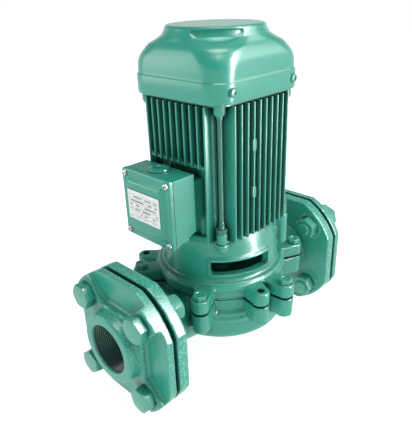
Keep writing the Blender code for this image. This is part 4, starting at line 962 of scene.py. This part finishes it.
def dished(point):
    # a crescent hollow pressed into the front of the neck, under the top disc
    if point.z > cowl["dishHigh"] + 1.5 or point.z < cowl["dishLow"] - 2:
        return point
    turn = math.degrees(math.atan2(point.y, point.x)) % 360 - cowl["dishTurn"]
    share = max(0, 1 - (turn / cowl["dishSpread"]) ** 2)
    floor = cowl["dishHigh"] - (cowl["dishHigh"] - cowl["dishLow"]) * math.sqrt(share)
    depth = (smoothStep(floor - 0.4, floor + 1.4, point.z) * (1 - smoothStep(-0.9, 0.6,
                                                                             point.z - cowl["dishHigh"]))
             * smoothStep(0, 0.12, share))
    reach = math.hypot(point.x, point.y)
    return Vector((point.x, point.y, 0)) * (1 - cowl["dishDepth"] * depth / reach) + Vector((0, 0, point.z))


def cowlShell():
    full, corner, cap, top, lip = cowl["half"], cowl["corner"], cowl["cap"], cowlHigh.z / mm, cowlLow.z / mm
    skirt = [(full - 0.25, corner, lip), (full, corner, lip + 0.8), (full, corner, cowl["step"] - 1.8),
             (full - 0.12, corner, cowl["step"] - 0.8), (full - 0.9, corner, cowl["step"] + 0.2)]
    sweep = smoothRows([(full - 1.05, corner, cowl["step"] + 1.2), (full - 1.1, corner * 1.08, top - 33),
                        (full - 1.6, corner * 1.28, top - 27), (full - 2.9, corner * 1.55, top - 21.8),
                        (full - 5.0, corner * 1.72, top - 17.2), (full - 7.6, cap * 0.9, top - 13.2),
                        (cap + 3.6, cap + 3.6, top - 8.6), (cap + 1.5, cap + 1.5, top - 4.6),
                        (cap + 0.4, cap + 0.4, top - 2)], 6)
    crown = [(cap - 0.1, cap, top - 1.1), (cap - 0.8, cap, top - 0.35), (cap - 2, cap, top)]
    middle = [(cap * share, cap, top) for share in (0.85, 0.65, 0.4, 0.15)]
    rows = skirt + sweep + crown + middle
    shape = bmesh.new()
    rings = [[shape.verts.new(dished(Vector(point)) * mm)
              for point in roundSquare(half, min(bend, half), height, cowl["steps"])]
             for half, bend, height in rows]
    for first, second in zip(rings, rings[1:]):
        for i in range(len(first)):
            after = (i + 1) % len(first)
            shape.faces.new((first[i], first[after], second[after], second[i]))
    shape.faces.new(rings[-1])
    bmesh.ops.recalc_face_normals(shape, faces=shape.faces)
    made = together("fanCowl", [shape])
    change(made, "SOLIDIFY", thickness=cowl["wall"] * mm, offset=-1, use_even_offset=True)
    settle(made, 30)
    holes = []
    for x in (-1, 1):
        for way in (-1, 1):
            hole = rod(3 * mm, way * 58 * mm if way > 0 else -70 * mm, 70 * mm if way > 0 else -58 * mm,
                       steps=32, along="Y")
            shifted(hole, (x * cowl["screwPlace"] * mm, 0, cowl["screwHeight"] * mm))
            holes.append(hole)
    carve(made, [holes], "EXACT")
    return fitted(settle(made, 30), paintSheet, "pump", ("fan_cowl",))


cowlShell()

shield = {"half": 57, "corner": 14, "bore": 17.8, "hub": 22.5}


def endShield():
    # the motor's top cover, with a hanging lug on each tie rod
    low, high = motorHigh.z + fitGap, motorHigh.z + 6.3 * mm
    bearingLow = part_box("upper_bearing_outer_race")[0].z
    rim = [(x * mm, y * mm) for x, y, z in roundSquare(shield["half"], shield["corner"], 0, 96)]
    hub, bore = shield["hub"] * mm, shield["bore"] * mm
    spigot = shifted(lathe([(motor["bore"] * mm - 0.3 * mm, low + mm),
                            (motor["bore"] * mm - 0.3 * mm, low - 5 * mm),
                            (motor["bore"] * mm - 4 * mm, low - 5 * mm),
                            (motor["bore"] * mm - 4 * mm, low + mm)], 96))
    shapes = [prism(rim, low, high), rod(hub, bearingLow - 3 * mm, low + mm, steps=64), spigot]
    for x, y in ((1, 1), (1, -1), (-1, 1), (-1, -1)):
        shapes.append(cornerLug(low - 9.3 * mm, high - 0.2 * mm, x, y, True))
        outer = (cowl["half"] - cowl["wall"] - 3.4) * mm
        post = block((x * 44 * mm - 4 * mm, min(y * outer, y * (outer - 9 * mm)), high - mm),
                     (x * 44 * mm + 4 * mm, max(y * outer, y * (outer - 9 * mm)), 318 * mm))
        shapes.append(post)
    made = joined("upperEndShield", shapes)
    cutters = [rod(bore, bearingLow - 0.3 * mm, high - 4 * mm, steps=64),
               rod(8.4 * mm, low - 20 * mm, high + mm, steps=48)]
    for x, y in ((1, 1), (1, -1), (-1, 1), (-1, -1)):
        cutters.append(rod(3.3 * mm, low - 12 * mm, high - 1.5 * mm,
                           (x * lantern["bossPlace"] * mm, y * lantern["bossPlace"] * mm), 24))
        thread = rod(2.8 * mm, 46 * mm if y > 0 else -62 * mm, 62 * mm if y > 0 else -46 * mm, steps=24,
                     along="Y")
        shifted(thread, (x * cowl["screwPlace"] * mm, 0, cowl["screwHeight"] * mm))
        cutters.append(thread)
    carve(made, [[cutter] for cutter in cutters], "MANIFOLD")
    return fitted(settle(made, 35), paintMotor, "pump", ("upper_end_shield",))


endShield()


def slottedScrew(name, size, head, reach, wide=0.9):
    # a pan head with a cross slot, head up along Z
    top = lathe([(0, head), (size * wide * 0.45, head * 0.98), (size * wide * 0.8, head * 0.78),
                 (size * wide, head * 0.25), (size * wide, 0), (size / 2, 0), (size / 2, -reach + 0.6 * mm),
                 (size / 2 - 0.6 * mm, -reach), (0, -reach)], 48)
    made = together(name, [top])
    slots = [block((-size * 0.48, -size * 0.085, head * 0.35), (size * 0.48, size * 0.085, head + mm)),
             block((-size * 0.085, -size * 0.48, head * 0.35), (size * 0.085, size * 0.48, head + mm))]
    return settle(carve(made, slots, "MANIFOLD"), 35)


firstPan = slottedScrew("cowlScrew1", 5 * mm, 2.2 * mm, 10 * mm)
for i in range(1, 5):
    low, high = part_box(f"cowl_screw_{i}")
    way = 1 if low.y + high.y > 0 else -1
    piece = firstPan if i == 1 else copyOf(firstPan, f"cowlScrew{i}")
    seat = way * (cowl["half"] * mm + fitGap)
    piece.matrix_world = (Matrix.Translation(((low.x + high.x) / 2, seat, (low.z + high.z) / 2))
                          @ Matrix.Rotation(-way * math.pi / 2, 4, "X") @ Matrix.Rotation(0.3 * i, 4, "Z"))
    fitted(piece, paintSheet, "pump", (f"cowl_screw_{i}",))
print("cowl made")

# --- terminal box ---
wiringBox = {"wall": 3, "rise": 10, "neck": 52, "post": 4.6, "voxel": 1.0, "panel": 3.5, "margin": 8,
             "lid": 4}
boxMiddle = Vector(((boxLow.x + boxHigh.x) / 2, (boxLow.y + boxHigh.y) / 2, (boxLow.z + boxHigh.z) / 2))
screwPlaces = [((low.y + high.y) / 2, (low.z + high.z) / 2)
               for low, high in (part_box(f"lid_screw_{i}") for i in range(1, 5))]


def terminalBox():
    front, back = boxLow.x, -67 * mm
    rise, wall = wiringBox["rise"] * mm, wiringBox["wall"] * mm
    low, high = boxLow.z, boxHigh.z
    side = [(front, low), (back, low + rise), (back, high), (front, high)]
    housing = stack([[(x, y, z) for x, z in side] for y in (boxLow.y, boxHigh.y)])
    bmesh.ops.recalc_face_normals(housing, faces=housing.faces)
    neck = block((back - 2 * mm, -wiringBox["neck"] / 2 * mm, low + 18 * mm),
                 (boxHigh.x, wiringBox["neck"] / 2 * mm, high - 10 * mm))
    inside = block((front - mm, boxLow.y + wall, low + rise + wall),
                   (back - wall, boxHigh.y - wall, high - wall))
    made = cast("terminalBox", [housing, neck], [inside], wiringBox["voxel"] * mm, 3)
    posts = [rod(wiringBox["post"] * mm, front + 0.1 * mm, front + 16 * mm, steps=32,
                 along="X") for _ in screwPlaces]
    for post, (y, z) in zip(posts, screwPlaces):
        shifted(post, (0, y, z))
    carve(made, [[post] for post in posts], "MANIFOLD", "UNION")
    threads = [rod(2.3 * mm, front - mm, front + 12 * mm, steps=24, along="X") for _ in screwPlaces]
    for hole, (y, z) in zip(threads, screwPlaces):
        shifted(hole, (0, y, z))
    wires = rod(8 * mm, back - 10 * mm, -40 * mm, steps=32, along="X")
    shifted(wires, (0, 0, boxMiddle.z))
    plugLow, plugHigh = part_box("cable_entry_plug")
    entry = rod(9.3 * mm, high - 10 * mm, high + 4 * mm, ((plugLow.x + plugHigh.x) / 2,
                                                          (plugLow.y + plugHigh.y) / 2), 48)
    carve(made, [threads, wires, entry], "MANIFOLD")
    return fitted(settle(made, 40), paintSheet, "pump", ("terminal_box",))


def boxLid():
    back, face = lidHigh.x, lidHigh.x - wiringBox["lid"] * mm
    middleY, middleZ = boxMiddle.y, boxMiddle.z
    halfY, halfZ = (lidHigh.y - lidLow.y) / 2, (lidHigh.z - lidLow.z) / 2
    def frameRing(inset, bend):
        edge = softened([(-halfY + inset, -halfZ + inset), (halfY - inset, -halfZ + inset),
                         (halfY - inset, halfZ - inset), (-halfY + inset, halfZ - inset)], bend, 5)
        return edge
    plate = stack([[(x, middleY + y, middleZ + z) for y, z in frameRing(inset * mm, bend * mm)]
                   for x, inset, bend in ((back, 0, 2.5), (face + 1.1 * mm, 0, 2.5),
                                          (face + 0.3 * mm, 0.35, 2.4),
                                          (face, 1.2, 2.2))])
    margin, panel = wiringBox["margin"], wiringBox["panel"]
    crown = stack([[(x, middleY + y, middleZ + z) for y, z in frameRing(inset * mm, bend * mm)]
                   for x, inset, bend in ((face + mm, margin - 1.0, 3.0), (face, margin - 0.4, 3.0),
                                          (face - 0.5 * mm, margin + 0.4, 2.8),
                                          (face - (panel - 0.6) * mm, margin + panel - 1.0, 2.5),
                                          (face - (panel - 0.1) * mm, margin + panel - 0.1, 2.3),
                                          (face - panel * mm, margin + panel + 0.9, 2))])
    made = joined("terminalBoxLid", [plate, crown])
    holes = [rod(2.5 * mm, face - 3 * mm, back + 3 * mm, steps=32, along="X") for _ in screwPlaces]
    for hole, (y, z) in zip(holes, screwPlaces):
        shifted(hole, (0, y, z))
    carve(made, [holes], "MANIFOLD")
    return fitted(settle(made, 30), paintSheet, "pump", ("terminal_box_lid",))


terminalBox()
boxLid()

firstLidScrew = slottedScrew("lidScrew1", 4 * mm, 2 * mm, 14 * mm, 0.85)
for i in range(1, 5):
    low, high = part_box(f"lid_screw_{i}")
    piece = firstLidScrew if i == 1 else copyOf(firstLidScrew, f"lidScrew{i}")
    piece.matrix_world = (Matrix.Translation((low.x + 2 * mm, (low.y + high.y) / 2, (low.z + high.z) / 2))
                          @ Matrix.Rotation(-math.pi / 2, 4, "Y") @ Matrix.Rotation(0.5 * i, 4, "Z"))
    fitted(piece, zincSteel, "pump", (f"lid_screw_{i}",))


def entryPlug():
    low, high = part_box("cable_entry_plug")
    wide = (high.x - low.x) / 2
    made = lathe([(0, high.z - 0.9 * mm), (5 * mm, high.z - 0.9 * mm), (6 * mm, high.z),
                  (wide - 1.6 * mm, high.z),
                  (wide - 0.4 * mm, high.z - 0.5 * mm), (wide, high.z - 1.4 * mm), (wide, high.z - 2.4 * mm),
                  (wide - 2 * mm, high.z - 2.4 * mm), (wide - 2 * mm, low.z), (0, low.z)], 72)
    shifted(made, ((low.x + high.x) / 2, (low.y + high.y) / 2, 0))
    plug = together("cableEntryPlug", [made])
    fitted(settle(plug, 30), paintSheet, "pump", ("cable_entry_plug",))


entryPlug()
print("terminal box made")


plateRules = {"rows": 7, "columns": 9}


def ruledPlate(name):
    # a white metal label ruled like a form, with no words on it
    made, shader, flow = startMaterial(name)
    spot = flow.node("ShaderNodeTexCoord", output=3)
    sideways = flow.node("ShaderNodeSeparateXYZ", {}, {"Vector": spot}, 1)
    up = flow.node("ShaderNodeSeparateXYZ", {}, {"Vector": spot}, 2)
    low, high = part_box("data_plate")
    rows = (up - low.z) * (plateRules["rows"] / (high.z - low.z))
    row = rows.math("FRACT", rows)
    column = ((sideways - low.y) * (plateRules["columns"] / (high.y - low.y)))
    bars = noiseAt(flow, flow.node("ShaderNodeCombineXYZ", {},
                                   {"X": column * 0.9, "Y": rows.math("FLOOR", rows) * 3.7}),
                   1, 0).ramp(0.44, 0.5)
    line = 1 - row.ramp(0.04, 0.1)
    bar = row.ramp(0.36, 0.42) * (1 - row.ramp(0.72, 0.78)) * bars
    margin = 2.6 * mm
    inside = ((sideways - low.y).ramp(margin, margin * 1.1) * (high.y - sideways).ramp(margin, margin * 1.1)
              * (up - low.z).ramp(margin, margin * 1.1) * (high.z - up).ramp(margin, margin * 1.1))
    ink = (line * 0.85 + bar * 0.8) * inside
    wear = noiseAt(flow, spot, 6 * mm, 3)
    colour = wear.ramp(0.4, 0.8).blend((0.62, 0.66, 0.65, 1), (0.55, 0.59, 0.58, 1))
    colour = ink.blend(colour, (0.05, 0.06, 0.06, 1))
    flow.feed(shader.inputs["Base Color"], colour)
    flow.feed(shader.inputs["Roughness"], 0.32 + wear * 0.15)
    return made


def dataPlate():
    low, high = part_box("data_plate")
    edge = softened([(low.y, low.z), (high.y, low.z), (high.y, high.z), (low.y, high.z)], 1.5 * mm, 5)
    plate = together("dataPlate", [stack([[(x, y, z) for y, z in edge] for x in (low.x, high.x)])])
    fitted(settle(plate, 30), ruledPlate("ruledPlate"), "pump", ("data_plate",))


dataPlate()

# --- CAD pieces that stay ---
finishes = {
    "casing_gasket": paintCast, "lid_gasket": rubberSheet,
    "pipe_gasket_near": rubberSheet, "pipe_gasket_far": rubberSheet, "cooling_fan": blackPlastic,
    "shaft": groundSteel, "rotor_core": lamination, "stator_core": lamination,
    "stator_winding_lower": copperWire,
    "stator_winding_upper": copperWire, "lower_bearing_outer_race": raceSteel,
    "upper_bearing_outer_race": raceSteel,
    "lower_bearing_inner_race": raceSteel, "upper_bearing_inner_race": raceSteel,
    "lower_bearing_cage": raceSteel,
    "upper_bearing_cage": raceSteel, "impeller": bareIron, "impeller_nut": zincSteel,
    "impeller_key": zincSteel,
    "seal_head": raceSteel, "seal_seat": sealCeramic, "terminal_block": blackPlastic,
}
for nodeName, finish in finishes.items():
    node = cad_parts[nodeName]
    for slot in node.material_slots:
        slot.material = finish
print("kept nodes painted")

# --- stage, light and camera ---
studio = {"floor": (0.62, 0.62, 0.62, 1), "glow": 0.8, "world": 0.3, "fade": (0.17, 0.28),
          "reach": 60}


def floorSheet():
    shape = bmesh.new()
    bmesh.ops.create_grid(shape, x_segments=1, y_segments=1, size=studio["reach"])
    floor = together("studioFloor", [shape])
    floor.visible_glossy = False
    made, shader, flow = startMaterial("palePaperFloor")
    spot = flow.node("ShaderNodeTexCoord", output=3)
    fibre = noiseAt(flow, spot, 3 * mm, 3)
    flow.feed(shader.inputs["Base Color"], fibre.blend((0.60, 0.60, 0.60, 1), studio["floor"]))
    shader.inputs["Emission Color"].default_value = (1, 1, 1, 1)
    shader.inputs["Emission Strength"].default_value = studio["glow"]
    shader.inputs["Roughness"].default_value = 0.9
    floor.data.materials.append(made)


floorSheet()
bpy.context.scene.view_settings.view_transform = "Standard"
sky = bpy.data.worlds.new("paleStudio")
sky.use_nodes = True
backdrop = Flow(sky.node_tree)
direction = backdrop.node("ShaderNodeTexCoord", output=0)
upward = backdrop.node("ShaderNodeSeparateXYZ", {}, {"Vector": direction}, 2)
backdrop.feed(sky.node_tree.nodes["Background"].inputs["Color"],
              upward.ramp(*studio["fade"]).blend((1, 1, 1, 1), (*[studio["world"]] * 3, 1)))
bpy.context.scene.world = sky


def softLight(name, place, target, size, power, mirrored=True, diffuse=True):
    lamp = bpy.data.lights.new(name, "AREA")
    lamp.shape = "RECTANGLE"
    lamp.size, lamp.size_y = size
    lamp.energy = power
    made = bpy.data.objects.new(name, lamp)
    bpy.context.scene.collection.objects.link(made)
    made.location = place
    made.rotation_euler = (Vector(target) - Vector(place)).to_track_quat("-Z", "Y").to_euler()
    made.visible_glossy = mirrored
    made.visible_diffuse = diffuse


softLight("stripLight", (0.24, -0.66, 0.50), (0, 0, 0.30), (0.12, 1.0), 22, diffuse=False)
softLight("keyLight", (0.9, -1.2, 1.1), (0, 0, 0.18), (1.2, 1.4), 24)
softLight("topLight", (0.0, -0.1, 1.7), (0, 0, 0.2), (0.7, 0.7), 12)
softLight("sideLight", (-1.0, 1.1, 0.55), (0, 0, 0.22), (0.3, 1.0), 4)
softLight("frontLight", (-1.4, -0.7, 0.35), (-0.15, 0, 0.08), (0.5, 0.5), 7, mirrored=False)

camera = bpy.data.cameras.new("camera")
camera.lens = 42.27
camera.sensor_width = 36
camera.sensor_fit = "AUTO"
cameraObject = bpy.data.objects.new("camera", camera)
bpy.context.scene.collection.objects.link(cameraObject)
backward = Vector((-0.6414, -0.6414, 0.4210))
rightward = Vector((0.7071, -0.7071, 0))
cameraUp = Vector((0.2977, 0.2977, 0.9071))
roll = math.radians(-2)
alongX = rightward * math.cos(roll) + cameraUp * math.sin(roll)
alongY = cameraUp * math.cos(roll) - rightward * math.sin(roll)
facing = Matrix((alongX, alongY, backward)).transposed().to_4x4()
cameraObject.matrix_world = Matrix.Translation((-0.3785, -0.3570, 0.4032)) @ facing
bpy.context.scene.camera = cameraObject
